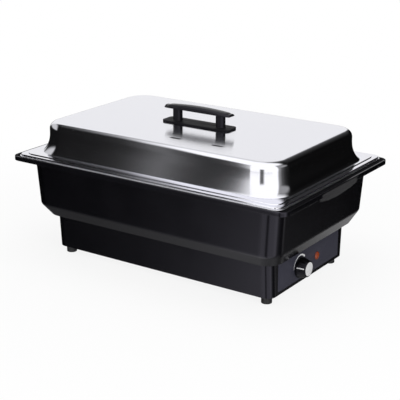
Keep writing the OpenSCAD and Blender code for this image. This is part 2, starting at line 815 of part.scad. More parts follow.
// The line inlaid in the knob's side, which points to the front at rest
module pointer_bar() {
    taper_h = knob_h - knob_edge - knob_gap - knob_rim_h;
    lean = atan((knob_d - knob_face_d) / 2 / taper_h);
    translate([x_panel + knob_gap + knob_rim_h, -knob_y, z_knob]) rotate([-pointer_turn, 0, 0])
        translate([0, -knob_d / 2, 0]) rotate([0, 0, lean])
            translate([pointer_in, -pointer_proud, -pointer_w / 2])
                cube([taper_h - 2 * pointer_in, pointer_t + pointer_proud, pointer_w]);
}

module knob() {
    face_r = knob_face_d / 2;
    cap_r = cap_d / 2 + cap_gap;
    z_cap = knob_h - cap_t + cap_proud;
    color([0.04, 0.04, 0.04]) difference() {
        translate([x_panel, -knob_y, z_knob]) rotate([0, 90, 0]) rotate_extrude() polygon([
            [knob_cavity_r, knob_gap], [knob_d / 2, knob_gap], [knob_d / 2, knob_gap + knob_rim_h],
            [face_r, knob_h - knob_edge], [face_r - knob_edge, knob_h], [cap_r, knob_h], [cap_r, z_cap],
            [0, z_cap], [0, z_cap - knob_web], [shaft_r, z_cap - knob_web], [shaft_r, knob_cavity_h],
            [knob_cavity_r, knob_cavity_h]
        ]);
        pointer_bar();
    }
}

module knob_cap() {
    x_cap = x_panel + knob_h - cap_t + cap_proud;
    color([0.85, 0.85, 0.86]) rod_x(x_cap, -knob_y, z_knob, cap_d / 2, cap_t);
}

module knob_pointer() { color("white") pointer_bar(); }

module lamp_lens() {
    r = lamp_d / 2;
    rise = lamp_dome_h - lamp_flange_h;
    barrel = [[0, -lamp_barrel_len], [lamp_barrel_r, -lamp_barrel_len], [lamp_barrel_r, 0]];
    dome = [for (a = [0:15:90]) [(r - lamp_edge) * cos(a), lamp_flange_h + rise * sin(a)]];
    color([0.85, 0.33, 0.12]) translate([x_panel, lamp_y, z_lamp]) rotate([0, 90, 0]) rotate_extrude()
        polygon(concat(barrel, [[r, 0], [r, lamp_flange_h]], dome));
}

module lamp_nut() {
    color("dimgray") translate([x_mount, lamp_y, z_lamp]) rotate([0, 90, 0])
        nut(lamp_nut_r, lamp_nut_h, lamp_barrel_r + screw_gap);
}

module lamp_body() {
    x_back = x_panel - lamp_barrel_len - lamp_body_len;
    color([0.9, 0.9, 0.88]) rod_x(x_back, lamp_y, z_lamp, lamp_body_r, lamp_body_len);
}

// Supply connection
module terminal_block() {
    color([0.92, 0.91, 0.86]) difference() {
        translate([gland_x - block_size[0] / 2, y_block - block_size[1] / 2, z_floor]) cube(block_size);
        for (s = [-1, 1]) translate([gland_x + s * block_screw_x, y_block, z_floor - 1])
            cylinder(r = screw_small[0] + screw_gap, h = block_size[2] + 2);
    }
}

module terminal_screws() {
    z_top = z_floor + block_size[2];
    color("silver") for (s = [-1, 1]) translate([gland_x + s * block_screw_x, y_block, z_top])
        mirror([0, 0, 1]) screw(screw_small, block_size[2] + floor_t + block_screw_end);
}

module cord_gland() {
    reach = y_pad_out - y_pad_in + gland_nut_h + gland_inside;
    color([0.05, 0.05, 0.05]) difference() {
        union() {
            rod_y(gland_x, y_pad_out - reach, z_gland, gland_barrel_r, reach + eps);
            rod_y(gland_x, y_pad_out, z_gland, gland_flange_r, gland_flange_h);
        }
        rod_y(gland_x, y_pad_out - reach - 1, z_gland, cord_bore_d / 2, reach + gland_flange_h + 2);
    }
}

module gland_nut() {
    color("dimgray") translate([gland_x, y_pad_in, z_gland]) rotate([-90, 0, 0])
        nut(gland_nut_r, gland_nut_h, gland_barrel_r + screw_gap);
}

// Insulated leads between the terminals, each along square turns
module wiring() {
    z_top = z_floor + block_size[2];
    x_back = x_mount - thermostat_size[0];
    x_lamp = x_panel - lamp_barrel_len - lamp_body_len;
    x_live = gland_x - terminal_pitch;
    x_neutral = gland_x + terminal_pitch;
    y_front = -knob_y - thermostat_size[1] / 4;
    y_rear = -knob_y + thermostat_size[1] / 4;
    y_side = -knob_y + thermostat_size[1] / 2;
    z_live = z_knob + wire_out;
    z_element_lead = z_knob - wire_step;
    z_neutral = z_live + wire_step;
    z_leg_lead = z_neutral + wire_out;
    z_earth = z_top + wire_side;
    x_earth = gland_x - block_size[0];
    y_earth = y_block - 2 * wire_side;
    x_turn = x_lamp - wire_out;
    z_low = z_top - wire_out;
    color([0.6, 0.2, 0.15]) {
        tube([
            [x_live, y_block, z_top], [x_live, y_block, z_live], [x_live, y_front, z_live],
            [x_back, y_front, z_live]
        ], wire_r);
        tube([
            [x_back, y_rear, z_element_lead], [x_back - wire_back, y_rear, z_element_lead],
            [x_back - wire_back, -element_y, z_element_lead], [leg_x, -element_y, z_element_lead],
            [leg_x, -element_y, z_leg_end]
        ], wire_r);
        tube([
            [x_neutral, y_block, z_top], [x_neutral, y_block, z_neutral], [leg_x, element_y, z_leg_lead],
            [leg_x, element_y, z_leg_end]
        ], wire_r);
        tube([
            [x_lamp, lamp_y + lamp_tag, z_lamp], [x_turn, lamp_y + lamp_tag, z_lamp],
            [x_turn, y_block, z_lamp], [x_turn, y_block, z_low],
            [gland_x + block_size[0] / 2, y_block, z_low]
        ], wire_r);
        tube([
            [x_lamp, lamp_y - lamp_tag, z_lamp], [x_turn, lamp_y - lamp_tag, z_lamp],
            [x_turn, y_side + wire_side, z_lamp], [x_back + wire_side, y_side + wire_side, z_lamp],
            [x_back + wire_side, y_side, z_lamp]
        ], wire_r);
        tube([
            [gland_x, y_block, z_top], [gland_x, y_block, z_earth], [gland_x, y_earth, z_earth],
            [x_earth, y_earth, z_earth], [x_earth, y_earth, z_floor]
        ], wire_r);
    }
}

// Bottom plate and feet
module bottom_plate() {
    color([0.6, 0.61, 0.62]) translate([0, 0, z_base]) difference() {
        linear_extrude(floor_t) rounded(2 * floor_half[0], 2 * floor_half[1], base_r - wall - fit);
        four(foot_x, foot_y) translate([0, 0, -1]) cylinder(r = screw_large[0] + screw_gap, h = floor_t + 2);
        four(floor_screw_x, floor_screw_y) translate([0, 0, -1])
            cylinder(r = screw_medium[0] + screw_gap, h = floor_t + 2);
        for (s = [-1, 1]) translate([gland_x + s * block_screw_x, y_block, -1])
            cylinder(r = screw_small[0] + screw_gap, h = floor_t + 2);
    }
}

module bottom_screws() {
    color("silver") four(floor_screw_x, floor_screw_y) translate([0, 0, z_base])
        screw(screw_medium, floor_t + floor_thread);
}

module foot(sx, sy) {
    color([0.05, 0.05, 0.05]) translate([sx * foot_x, sy * foot_y, 0]) difference() {
        cylinder(d = foot_d, h = foot_h);
        translate([0, 0, -1]) cylinder(r = foot_recess_r, h = foot_recess_h + 1);
        cylinder(r = screw_large[0] + screw_gap, h = foot_h + 1);
    }
}

module foot_front_left() { foot(-1, -1); }
module foot_front_right() { foot(1, -1); }
module foot_rear_left() { foot(-1, 1); }
module foot_rear_right() { foot(1, 1); }

module foot_screws() {
    color("silver") four(foot_x, foot_y) translate([0, 0, foot_recess_h])
        screw(screw_large, foot_top_t + floor_t + foot_thread);
}

// Lid: outline of its section as steps [in from the end, in from the side, height, corner radius]
dome_in = lid_half - dome_half;
dome_wall_h = dome_h - shoulder_r;
dome_r_loss = 6;
top_in = dome_in + [flare_end, flare_side];
top_r = dome_r - dome_r_loss;
top_margin = 3;
flare_steps = 7;
function flare(t) = 1 - pow(1 - t, 3);
function lid_step(in, more, z, r) = [in[0] + more, in[1] + more, z, r - more];
function lid_outside() = concat(
    [lid_step([0, 0], 0, z_well, lid_edge_r)],
    [for (a = [0:30:90])
        lid_step([0, 0], lid_round * (1 - cos(a)), z_flange - lid_round * (1 - sin(a)), lid_edge_r)],
    [for (i = [0:flare_steps])
        let (t = i / flare_steps, f = flare(t))
        lid_step(dome_in + f * (top_in - dome_in), 0, z_flange + dome_wall_h * t, dome_r - f * dome_r_loss)],
    [for (a = [22.5:22.5:90])
        lid_step(top_in, shoulder_r * (1 - cos(a)), z_lid - shoulder_r * (1 - sin(a)), top_r)],
    [lid_step(top_in, shoulder_r + top_margin, z_lid, top_r)]);
function lid_inside(p) = [
    for (i = [0:len(p) - 1])
        let (a = p[max(i - 1, 0)], b = p[min(i + 1, len(p) - 1)],
             d = i == 0 ? [0, 1] : i == len(p) - 1 ? [1, 0] : unit([b[0] - a[0], b[2] - a[2]]),
             down = i == 0 ? 0 : sheet * d[0])
        lid_step([p[i][0], p[i][1]], sheet * d[1], p[i][2] - down, p[i][3])
];
function lid_ring(p) = ring(lid_half - [p[0], p[1]], p[3], p[2]);

module lid_shell() {
    outside = lid_outside();
    rings = concat([for (p = reversed(lid_inside(outside))) lid_ring(p)], [for (p = outside) lid_ring(p)]);
    color([0.86, 0.87, 0.89]) difference() {
        loft(rings);
        for (i = [0, 1]) translate([slot_x + i * slot_pitch, -slot_y, z_lid - 2 * sheet])
            linear_extrude(3 * sheet) rounded(slot_len, slot_w, slot_w / 2 - eps);
        for (s = [-1, 1]) translate([s * post_pitch / 2, 0, z_lid - 2 * sheet])
            cylinder(r = handle_screw[0] + screw_gap, h = 3 * sheet);
    }
}

// Lid handle
module handle_base() {
    color([0.05, 0.05, 0.05]) translate([0, 0, z_lid]) difference() {
        linear_extrude(plate_t) rounded(plate_len, plate_wid, plate_r);
        for (s = [-1, 1]) translate([s * post_pitch / 2, 0, -1])
            cylinder(r = handle_screw[0] + screw_gap, h = plate_t + 2);
    }
}

// Section of the grip bar at share u of its half length: flat below, upright edges, sloping shoulders
function bar_ring(u) =
    let (tip = min(1, max(0, (abs(u) - bar_tip_from) / (bar_tip_to - bar_tip_from))),
         end = max(0, (abs(u) - bar_tip_from) / (1 - bar_tip_from)),
         taper = 1 - (1 - bar_tip) * end * end,
         half = bar_wid / 2 * taper,
         drop = bar_arch * u * u,
         top = z_grip + (bar_t - drop) * (1 - tip * tip) + bar_tip_h * tip * tip,
         shoulder = top - bar_shoulder_drop,
         edge = min(z_grip + bar_edge - drop, top - bar_tip_edge),
         x = u * bar_half)
    [[x, -half, z_grip], [x, half, z_grip], [x, half, edge], [x, bar_shoulder * half, shoulder],
     [x, bar_flat * half, top], [x, -bar_flat * half, top], [x, -bar_shoulder * half, shoulder],
     [x, -half, edge]];

function bar_shares() = concat(
    [for (i = [0:bar_tip_steps - 1]) -1 + (1 - bar_tip_from) * i / bar_tip_steps],
    [for (i = [0:bar_mid_steps]) bar_tip_from * (2 * i / bar_mid_steps - 1)],
    [for (i = [1:bar_tip_steps]) bar_tip_from + (1 - bar_tip_from) * i / bar_tip_steps]);

module handle_grip() {
    post_h = z_grip - z_lid - plate_t;
    post_round = post_wid / 3;
    color([0.05, 0.05, 0.05]) difference() {
        union() {
            loft([for (u = bar_shares()) bar_ring(u)]);
            for (s = [-1, 1]) translate([s * post_pitch / 2, 0, z_lid + plate_t])
                linear_extrude(post_h + 1) rounded(post_len, post_wid, post_round);
        }
        for (s = [-1, 1]) translate([s * post_pitch / 2, 0, z_lid])
            cylinder(r = handle_screw[0] + screw_gap, h = plate_t + handle_screw_deep + 1);
    }
}

module handle_screws() {
    color("silver") for (s = [-1, 1]) translate([s * post_pitch / 2, 0, z_lid - sheet - washer_t])
        screw(handle_screw, washer_t + sheet + plate_t + handle_screw_deep);
}

module handle_washers() {
    z_washer = z_lid - sheet - washer_t;
    color("silver") for (s = [-1, 1]) translate([s * post_pitch / 2, 0, z_washer]) difference() {
        cylinder(r = washer_r, h = washer_t);
        translate([0, 0, -1]) cylinder(r = handle_screw[0] + screw_gap, h = washer_t + 2);
    }
}

body_shell();
water_pan();
rim_nuts();
heating_element();
element_clamps();
clamp_nuts();
sensor_bulb();
bulb_saddle();
thermal_cutout();
heat_shield();
shield_screws();
control_panel();
panel_screws();
thermostat();
thermostat_nut();
lamp_lens();
lamp_body();
lamp_nut();
terminal_block();
terminal_screws();
cord_gland();
gland_nut();
wiring();
bottom_plate();
bottom_screws();
foot_front_left();
foot_front_right();
foot_rear_left();
foot_rear_right();
foot_screws();
food_pan();
lid_shell();
handle_base();
handle_grip();
handle_screws();
handle_washers();
knob();
knob_cap();
knob_pointer();
thermostat_shaft();
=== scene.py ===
import json
import math
from types import SimpleNamespace as Spec

import bmesh
import bpy
from mathutils import Matrix, Vector

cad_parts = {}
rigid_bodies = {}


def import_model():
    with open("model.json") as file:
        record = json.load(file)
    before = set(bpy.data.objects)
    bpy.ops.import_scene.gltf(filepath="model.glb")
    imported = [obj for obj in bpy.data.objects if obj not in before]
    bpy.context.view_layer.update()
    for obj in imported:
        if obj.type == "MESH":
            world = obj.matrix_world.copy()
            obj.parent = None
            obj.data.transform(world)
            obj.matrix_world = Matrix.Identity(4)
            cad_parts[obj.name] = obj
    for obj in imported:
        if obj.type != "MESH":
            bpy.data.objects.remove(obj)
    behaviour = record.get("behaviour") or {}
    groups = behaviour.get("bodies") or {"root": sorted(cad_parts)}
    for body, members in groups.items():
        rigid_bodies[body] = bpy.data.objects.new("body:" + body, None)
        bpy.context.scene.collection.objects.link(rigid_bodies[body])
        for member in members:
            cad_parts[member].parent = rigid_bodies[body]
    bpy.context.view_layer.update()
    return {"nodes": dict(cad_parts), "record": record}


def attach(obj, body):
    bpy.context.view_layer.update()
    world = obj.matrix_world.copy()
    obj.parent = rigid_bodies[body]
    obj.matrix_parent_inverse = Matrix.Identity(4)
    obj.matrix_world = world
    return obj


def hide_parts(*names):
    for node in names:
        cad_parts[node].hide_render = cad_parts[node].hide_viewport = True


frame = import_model()
nodes = frame["nodes"]
mm = 0.001  # sizes below are in millimetres, Blender's are in metres


def srgb(code):
    parts = [int(code[i:i + 2], 16) / 255 for i in (1, 3, 5)]
    return (*[c / 12.92 if c <= 0.04045 else ((c + 0.055) / 1.055) ** 2.4 for c in parts], 1.0)


def addNode(tree, kind, settings=None, values=None, links=None):
    # a link comes from a socket or from a node's first output; a list goes into one input
    node = tree.nodes.new(kind)
    for key, value in (settings or {}).items():
        setattr(node, key, value)
    for key, value in (values or {}).items():
        node.inputs[key].default_value = value
    for key, sources in (links or {}).items():
        for source in sources if isinstance(sources, list) else [sources]:
            socket = source.outputs[0] if isinstance(source, bpy.types.Node) else source
            tree.links.new(socket, node.inputs[key])
    return node


def startFinish(name):
    finish = bpy.data.materials.new(name)
    finish.use_nodes = True
    finish.node_tree.nodes.clear()
    return finish, finish.node_tree


def closeFinish(finish, shader):
    addNode(finish.node_tree, "ShaderNodeOutputMaterial", links={"Surface": shader})
    return finish


def surface(finish, values, links):
    return closeFinish(finish, addNode(finish.node_tree, "ShaderNodeBsdfPrincipled", None, values, links))


def placeOn(tree):
    return addNode(tree, "ShaderNodeTexCoord").outputs["Object"]


def clouds(tree, place, size, detail):
    # drifts between 0 and 1, over about size mm
    values = {"Scale": 1 / (size * mm), "Detail": detail}
    return addNode(tree, "ShaderNodeTexNoise", values=values, links={"Vector": place}).outputs["Fac"]


def tones(tree, dark, light, share):
    ends = {6: srgb(dark), 7: srgb(light)}
    return addNode(tree, "ShaderNodeMix", {"data_type": "RGBA"}, ends, {0: share}).outputs[2]


def levels(tree, low, high, share):
    return addNode(tree, "ShaderNodeMapRange", values={3: low, 4: high}, links={0: share})


def bumps(tree, strength, depth, height):
    values = {"Strength": strength, "Distance": depth * mm}
    return addNode(tree, "ShaderNodeBump", values=values, links={"Height": height})


# Moulded black plastic: nearly black, with a fine eroded grain that spreads the gloss
mouldedLook = Spec(flow=60, flowDetail=3.0, grainDetail=2.0, glossBand=0.04, bump=0.25, glossTint="#ece8ff")


def mouldedBlack(name, dark, light, roughness, grain, depth, ior=1.49):
    look = mouldedLook
    finish, tree = startFinish(name)
    place = placeOn(tree)
    flow = clouds(tree, place, look.flow, look.flowDetail)
    rough = levels(tree, roughness - look.glossBand, roughness + look.glossBand, flow)
    bump = bumps(tree, look.bump, depth, clouds(tree, place, grain, look.grainDetail))
    # carbon black in the plastic leaves a faintly violet gloss
    return surface(finish, {"IOR": ior, "Specular Tint": srgb(look.glossTint)},
                   {"Base Color": tones(tree, dark, light, flow), "Roughness": rough, "Normal": bump})


# the real grain is about 0.3 mm; it is drawn 0.8 to 1.2 mm wide so that it shows at all.
# After the two tones: roughness, grain's width and depth in mm, IOR
bodyBlack = mouldedBlack("polypropylene_satin_black", "#040406", "#060608", 0.2, 1.2, 0.006)  # deep, satin
rimBlack = mouldedBlack("polypropylene_eroded_black", "#060608", "#09090b", 0.75, 1.2, 0.02, 1.12)  # dull
handleBlack = mouldedBlack("phenolic_moulded_black", "#121214", "#18181b", 0.32, 0.9, 0.01, 1.36)  # satin
plateBlack = mouldedBlack("phenolic_matt_black", "#151517", "#1b1b1e", 0.55, 0.9, 0.01, 1.18)  # flat charcoal
knobBlack = mouldedBlack("abs_moulded_black", "#060607", "#0a0a0b", 0.3, 0.9, 0.01, 1.3)  # dark, soft edges
panelGrey = mouldedBlack("abs_grained_blue_grey", "#363640", "#3d3d48", 0.42, 0.8, 0.02)  # cool grey, grained
wireCover = mouldedBlack("silicone_sleeve_black", "#1a1a1c", "#26262a", 0.5, 0.8, 0.02)  # rubbery


# Drawn stainless sheet, brushed along its length: reflections stay sharp along the grain and smear across it.
# Strokes are about 60 mm long; their 0.2 mm spacing is drawn as 1 mm so that it shows
brushLook = Spec(stroke=60, spacing=1.0, detail=4.0, fineness=0.6, glossBand=0.01, topFade=3)


def brushedSteel(name, dark, light, roughness, spread, topExtra, topHeight):
    look = brushLook
    finish, tree = startFinish(name)
    lay = addNode(tree, "ShaderNodeUVMap", {"uv_map": "grainMap"})
    scale = (1 / (look.stroke * mm), 1 / (look.spacing * mm), 1.0)
    stretched = addNode(tree, "ShaderNodeMapping", values={"Scale": scale}, links={"Vector": lay})
    strokes = addNode(tree, "ShaderNodeTexNoise",
                      values={"Scale": 1.0, "Detail": look.detail, "Roughness": look.fineness},
                      links={"Vector": stretched}).outputs["Fac"]
    walls = levels(tree, roughness - look.glossBand, roughness + look.glossBand, strokes)
    # the flat top is brushed deeper than the drawn walls
    height = addNode(tree, "ShaderNodeSeparateXYZ", links={0: placeOn(tree)}).outputs["Z"]
    top = addNode(tree, "ShaderNodeMapRange",
                  values={1: (topHeight - look.topFade) * mm, 2: topHeight * mm, 3: 0.0, 4: topExtra},
                  links={0: height})
    rough = addNode(tree, "ShaderNodeMath", {"operation": "ADD"}, links={0: walls, 1: top})
    across = addNode(tree, "ShaderNodeAttribute", {"attribute_name": "acrossGrain"}).outputs["Vector"]
    return surface(finish, {"Metallic": 1.0, "Anisotropic": spread},
                   {"Base Color": tones(tree, dark, light, strokes), "Roughness": rough, "Tangent": across})


lidSteel = brushedSteel("stainless_brushed_lid", "#dedee4", "#e9e9f0", roughness=0.085, spread=0.85,
                        topExtra=0.035, topHeight=256.4)


# Plain metals: clouds from the mill or the plating bath, in tone and in gloss
metalLook = Spec(cloudDetail=4.0, glossBand=0.05)


def plainMetal(name, dark, light, roughness, cloud):
    look = metalLook
    finish, tree = startFinish(name)
    mottle = clouds(tree, placeOn(tree), cloud, look.cloudDetail)
    rough = levels(tree, roughness - look.glossBand, roughness + look.glossBand, mottle)
    return surface(finish, {"Metallic": 1.0},
                   {"Base Color": tones(tree, dark, light, mottle), "Roughness": rough})


# after the two tones: roughness, size of the clouds in mm
edgeSteel = plainMetal("stainless_rolled_edge", "#dadade", "#eaeaee", 0.31, 12)  # rolled, a dull bright line
panSteel = plainMetal("stainless_satin_pan", "#d6d6da", "#e4e4e8", 0.22, 25)  # rolled sheet, soft sheen
platedSteel = plainMetal("zinc_plated_steel", "#b4b6ba", "#cfd1d4", 0.34, 8)  # cool grey, patchy
elementSheath = plainMetal("nickel_alloy_annealed_sheath", "#4a4642", "#6a655f", 0.5, 10)  # dark, scaled
copper = plainMetal("copper_drawn_tube", "#b5694a", "#d08a66", 0.3, 6)  # warm, lightly tarnished


# Spun aluminium disc: fine rings round the knob's axis scatter the light to a pale grey.
# Rings are about 0.05 mm apart, drawn 0.6 mm apart; at scale 1 the wave's rings lie 0.314 apart
spunLook = Spec(spacing=0.6, waveAtOne=0.314, wobble=0.6, detail=2.0, rough=(0.36, 0.46), metal=0.25)


def spunAluminium(name, dark, light, centre):
    look = spunLook
    finish, tree = startFinish(name)
    shift = addNode(tree, "ShaderNodeMapping", values={"Location": [-c * mm for c in centre]},
                    links={"Vector": placeOn(tree)})
    rings = addNode(tree, "ShaderNodeTexWave", {"wave_type": "RINGS", "rings_direction": "X"},
                    {"Scale": look.waveAtOne / (look.spacing * mm), "Distortion": look.wobble,
                     "Detail": look.detail}, {"Vector": shift}).outputs["Fac"]
    rough = levels(tree, *look.rough, rings)
    return surface(finish, {"Metallic": look.metal},
                   {"Base Color": tones(tree, dark, light, rings), "Roughness": rough})


# Plastics and rubber that scatter: soft tone drift, dull or waxy
dullLook = Spec(detail=5.0, bump=0.2, depth=0.03)


def dullMoulding(name, dark, light, roughness, drift, ior):
    look = dullLook
    finish, tree = startFinish(name)
    cloud = clouds(tree, placeOn(tree), drift, look.detail)
    return surface(finish, {"Roughness": roughness, "IOR": ior},
                   {"Base Color": tones(tree, dark, light, cloud),
                    "Normal": bumps(tree, look.bump, look.depth, cloud)})


# after the two tones: roughness, size of the drift in mm, IOR
footRubber = dullMoulding("rubber_black_foot", "#121213", "#1d1d1f", 0.62, 4, 1.52)  # soft and dull
whitePlastic = dullMoulding("thermoset_cream_white", "#dcd8cc", "#e8e5da", 0.45, 12, 1.54)  # cream, waxy
printWhite = dullMoulding("screen_ink_white", "#e2e2e4", "#eeeeef", 0.5, 1.5, 1.5)  # flat ink


# Tinted polycarbonate lens with prisms inside: light goes in, and the colour is deep and uneven
lensLook = Spec(prism=2.2, rough=0.12, ior=1.585, scatter=0.3, scatterReach=(0.004, 0.001, 0.0004))


def tintedLens(name, deep, clear):
    look = lensLook
    finish, tree = startFinish(name)
    prisms = addNode(tree, "ShaderNodeTexVoronoi", values={"Scale": 1 / (look.prism * mm)},
                     links={"Vector": placeOn(tree)}).outputs["Distance"]
    return surface(finish, {"Roughness": look.rough, "IOR": look.ior, "Subsurface Weight": look.scatter,
                            "Subsurface Radius": look.scatterReach, "Subsurface Scale": 1.0},
                   {"Base Color": tones(tree, deep, clear, prisms)})


lensOrange = tintedLens("polycarbonate_orange_lens", "#74290f", "#ab4c26")
print("finishes:", len(bpy.data.materials))

# mesh code: distances in mm, angles in degrees
meshSizes = Spec(merge=0.002, cadMerge=0.003, flatAngle=0.5, edgeAngle=30, bevelAngle=40, bevelSteps=3)


def ease(low, high, value):
    t = min(max((value - low) / (high - low), 0.0), 1.0)
    return t * t * (3 - 2 * t)


def quarterTurn(steps):
    return [math.radians(90 * i / steps) for i in range(steps + 1)]


def ringPoints(halfX, halfY, corner, z, steps, shares=()):
    # rounded rectangle in mm, anticlockwise seen from above, with extra points along its straight runs
    arcs = []
    for sx, sy, start in ((1, 1, 0), (-1, 1, 90), (-1, -1, 180), (1, -1, 270)):
        angles = [math.radians(start + 90 * i / steps) for i in range(steps + 1)]
        arcs.append([Vector((sx * (halfX - corner) + corner * math.cos(a),
                             sy * (halfY - corner) + corner * math.sin(a), z)) for a in angles])
    points = []
    for k in range(4):
        points += arcs[k]
        points += [arcs[k][-1].lerp(arcs[(k + 1) % 4][0], share) for share in shares]
    return points


def softened(stations, cuts, hold=1.5, steps=4, closed=False):
    # rounds a profile of (halfX, halfY, corner, z) stations, with a support on both sides of each round
    room = 2.5  # a leg has to be this many times longer than round and support together
    count = len(stations)
    out = []
    for i in range(count):
        here, cut = Vector(stations[i]), cuts[i]
        if cut == 0 or (not closed and i in (0, count - 1)):
            out.append(here)
            continue
        ends, supports = [], []
        for other in (stations[i - 1], stations[(i + 1) % count]):
            leg = Vector(other) - here
            reach = math.hypot(max(abs(leg[0]), abs(leg[1])), leg[3])
            ends.append(here + leg / reach * cut)
            supports.append([here + leg / reach * (cut + hold)] if reach > room * (cut + hold) else [])
        out += supports[0]
        for k in range(steps + 1):
            t = k / steps
            out.append(ends[0] * (1 - t) ** 2 + here * (2 * t * (1 - t)) + ends[1] * t ** 2)
        out += supports[1]
    return out


def loftInto(bm, rings, closed=False, caps=False):
    rows = [[bm.verts.new(p * mm) for p in ring] for ring in rings]
    count = len(rows[0])
    pairs = list(zip(rows, rows[1:])) + ([(rows[-1], rows[0])] if closed else [])
    for low, high in pairs:
        for j in range(count):
            bm.faces.new((low[j], low[(j + 1) % count], high[(j + 1) % count], high[j]))
    if caps:
        bm.faces.new(rows[0])
        bm.faces.new(rows[-1])
    return rows


def putInScene(name, data):
    thing = bpy.data.objects.new(name, data)
    bpy.context.scene.collection.objects.link(thing)
    return thing


def shadeEdges(piece, sharp):
    piece.data.shade_smooth()
    piece.data.set_sharp_from_angle(angle=math.radians(sharp))


def toPiece(bm, name, finish, sharp=35):
    bmesh.ops.remove_doubles(bm, verts=bm.verts, dist=meshSizes.merge * mm)
    bmesh.ops.recalc_face_normals(bm, faces=bm.faces)
    mesh = bpy.data.meshes.new(name)
    bm.to_mesh(mesh)
    bm.free()
    mesh.materials.append(finish)
    piece = putInScene(name, mesh)
    shadeEdges(piece, sharp)
    return piece


def bakePiece(piece):
    # the evaluated shape becomes a plain mesh, and the modifiers go
    graph = bpy.context.evaluated_depsgraph_get()
    mesh = bpy.data.meshes.new_from_object(piece.evaluated_get(graph))
    piece.modifiers.clear()
    piece.data = mesh
    mesh.name = piece.name


def carve(piece, bm):
    # cuts the shape in bm out of the piece
    cutter = toPiece(bm, "cutter", piece.data.materials[0])
    cut = piece.modifiers.new("cut", "BOOLEAN")
    cut.object, cut.operation, cut.solver = cutter, "DIFFERENCE", "EXACT"
    bakePiece(piece)
    bpy.data.objects.remove(cutter)


def turned(bm, outline, origin, axis, steps=72, closed=False):
    # lathe: outline of (radius, height) in mm round an axis through origin; a closed outline makes a collar
    turn = Vector((0, 0, 1)).rotation_difference(Vector(axis)).to_matrix()
    angles = [2 * math.pi * k / steps for k in range(steps)]
    rows = loftInto(bm, [[Vector(origin) + turn @ Vector((radius * math.cos(a), radius * math.sin(a), height))
                          for a in angles] for radius, height in outline], closed)
    for row, radius in ((rows[0], outline[0][0]), (rows[-1], outline[-1][0])):
        if radius > 0 and not closed:
            bm.faces.new(row)


def roundedOutline(points, cuts):
    # the same rounding for a flat outline of (radius, height)
    line = softened([(x, 0, 0, z) for x, z in points], cuts, hold=0)
    return [(p[0], p[3]) for p in line]


def softCopy(node, name, finish, width, segments):
    # a CAD piece with its moulded or deburred edges
    bm = bmesh.new()
    bm.from_mesh(nodes[node].data)
    bmesh.ops.remove_doubles(bm, verts=bm.verts, dist=meshSizes.cadMerge * mm)
    flat, bend = math.radians(meshSizes.flatAngle), math.radians(meshSizes.edgeAngle)
    bmesh.ops.dissolve_limit(bm, angle_limit=flat, verts=bm.verts, edges=bm.edges)
    edges = [e for e in bm.edges if len(e.link_faces) == 2 and e.calc_face_angle(0) > bend]
    bmesh.ops.bevel(bm, geom=edges, offset=width * mm, segments=segments, profile=0.5, affect="EDGES",
                    clamp_overlap=True)
    return toPiece(bm, name, finish)


def handOver(piece, body, slot, *replaced):
    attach(piece, body)
    if replaced:
        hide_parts(*replaced)


# lid: flange with a pressed step, flared walls, rounded shoulder and a flat top with two slots
lidSizes = Spec(
    edgeHalf=(278.5, 182.3), edgeCorner=14, lipBottom=196.4, lipRound=0.8, lipSteps=8,
    flangeTop=201.4, flangeRun=1, flangeCorner=2, step=1.3, stepAt=8.8, stepRun=0.4, stepSteps=6,
    domeHalf=(264.5, 160.5), domeCorner=50, cornerLoss=6, foot=1.2, footRun=1,
    flareIn=(13, 10), flareRise=42, flareSteps=28, flareCrowd=1.5, flareCurve=3,
    shoulder=13, shoulderSteps=12, topMargin=4, sheet=0.8,
    slotLength=23, slotWidth=6, slotAt=((19, -100), (106, -100)), slotUnder=2.4, slotPoints=24,
    cornerSteps=26, sideShares=(0.012, 0.1, 0.25, 0.5, 0.75, 0.9, 0.988))


def lidProfile(s):
    ex, ey = s.edgeHalf
    dx, dy = s.domeHalf
    top, lip = s.flangeTop, s.lipRound
    low = top - s.step
    line = [(ex, ey, s.edgeCorner, s.lipBottom)]
    for a in quarterTurn(s.lipSteps):
        inward = lip * (1 - math.cos(a))
        line.append((ex - inward, ey - inward, s.edgeCorner - inward, low - lip * (1 - math.sin(a))))
    corner = s.edgeCorner - lip + s.flangeCorner
    line.append((ex - lip - s.flangeRun, ey - lip - s.flangeRun, corner, low))
    # the flange is pressed with a small step that stiffens its edge
    for i in range(s.stepSteps + 1):
        t = i / s.stepSteps
        inward = s.stepAt + s.stepRun * t
        line.append((ex - inward, ey - inward, corner, low + s.step * ease(0, 1, t)))
    for out in (s.foot + s.footRun, s.foot):
        line.append((dx + out, dy + out, s.domeCorner, top))
    for i in range(1, s.flareSteps + 1):
        t = (i / s.flareSteps) ** s.flareCrowd
        gone = 1 - (1 - t) ** s.flareCurve
        line.append((dx - s.flareIn[0] * gone, dy - s.flareIn[1] * gone,
                     s.domeCorner - s.cornerLoss * gone, top + s.flareRise * t))
    wx, wy, corner, z = line[-1]
    for a in quarterTurn(s.shoulderSteps)[1:]:
        inward = s.shoulder * (1 - math.cos(a))
        line.append((wx - inward, wy - inward, corner - inward, z + s.shoulder * math.sin(a)))
    inward = s.shoulder + s.topMargin
    line.append((wx - inward, wy - inward, corner - inward, z + s.shoulder))
    return line


def insideOf(line, sheet):
    leastCorner = 1
    out = []
    for i, (hx, hy, corner, z) in enumerate(line):
        a, b = line[max(i - 1, 0)], line[min(i + 1, len(line) - 1)]
        dx, dz = b[0] - a[0], b[3] - a[3]
        size = math.hypot(dx, dz)
        dx, dz = (0, 1) if i == 0 else (-1, 0) if i == len(line) - 1 else (dx / size, dz / size)
        out.append((hx - sheet * dz, hy - sheet * dz, max(corner - sheet * dz, leastCorner), z + sheet * dx))
    return out


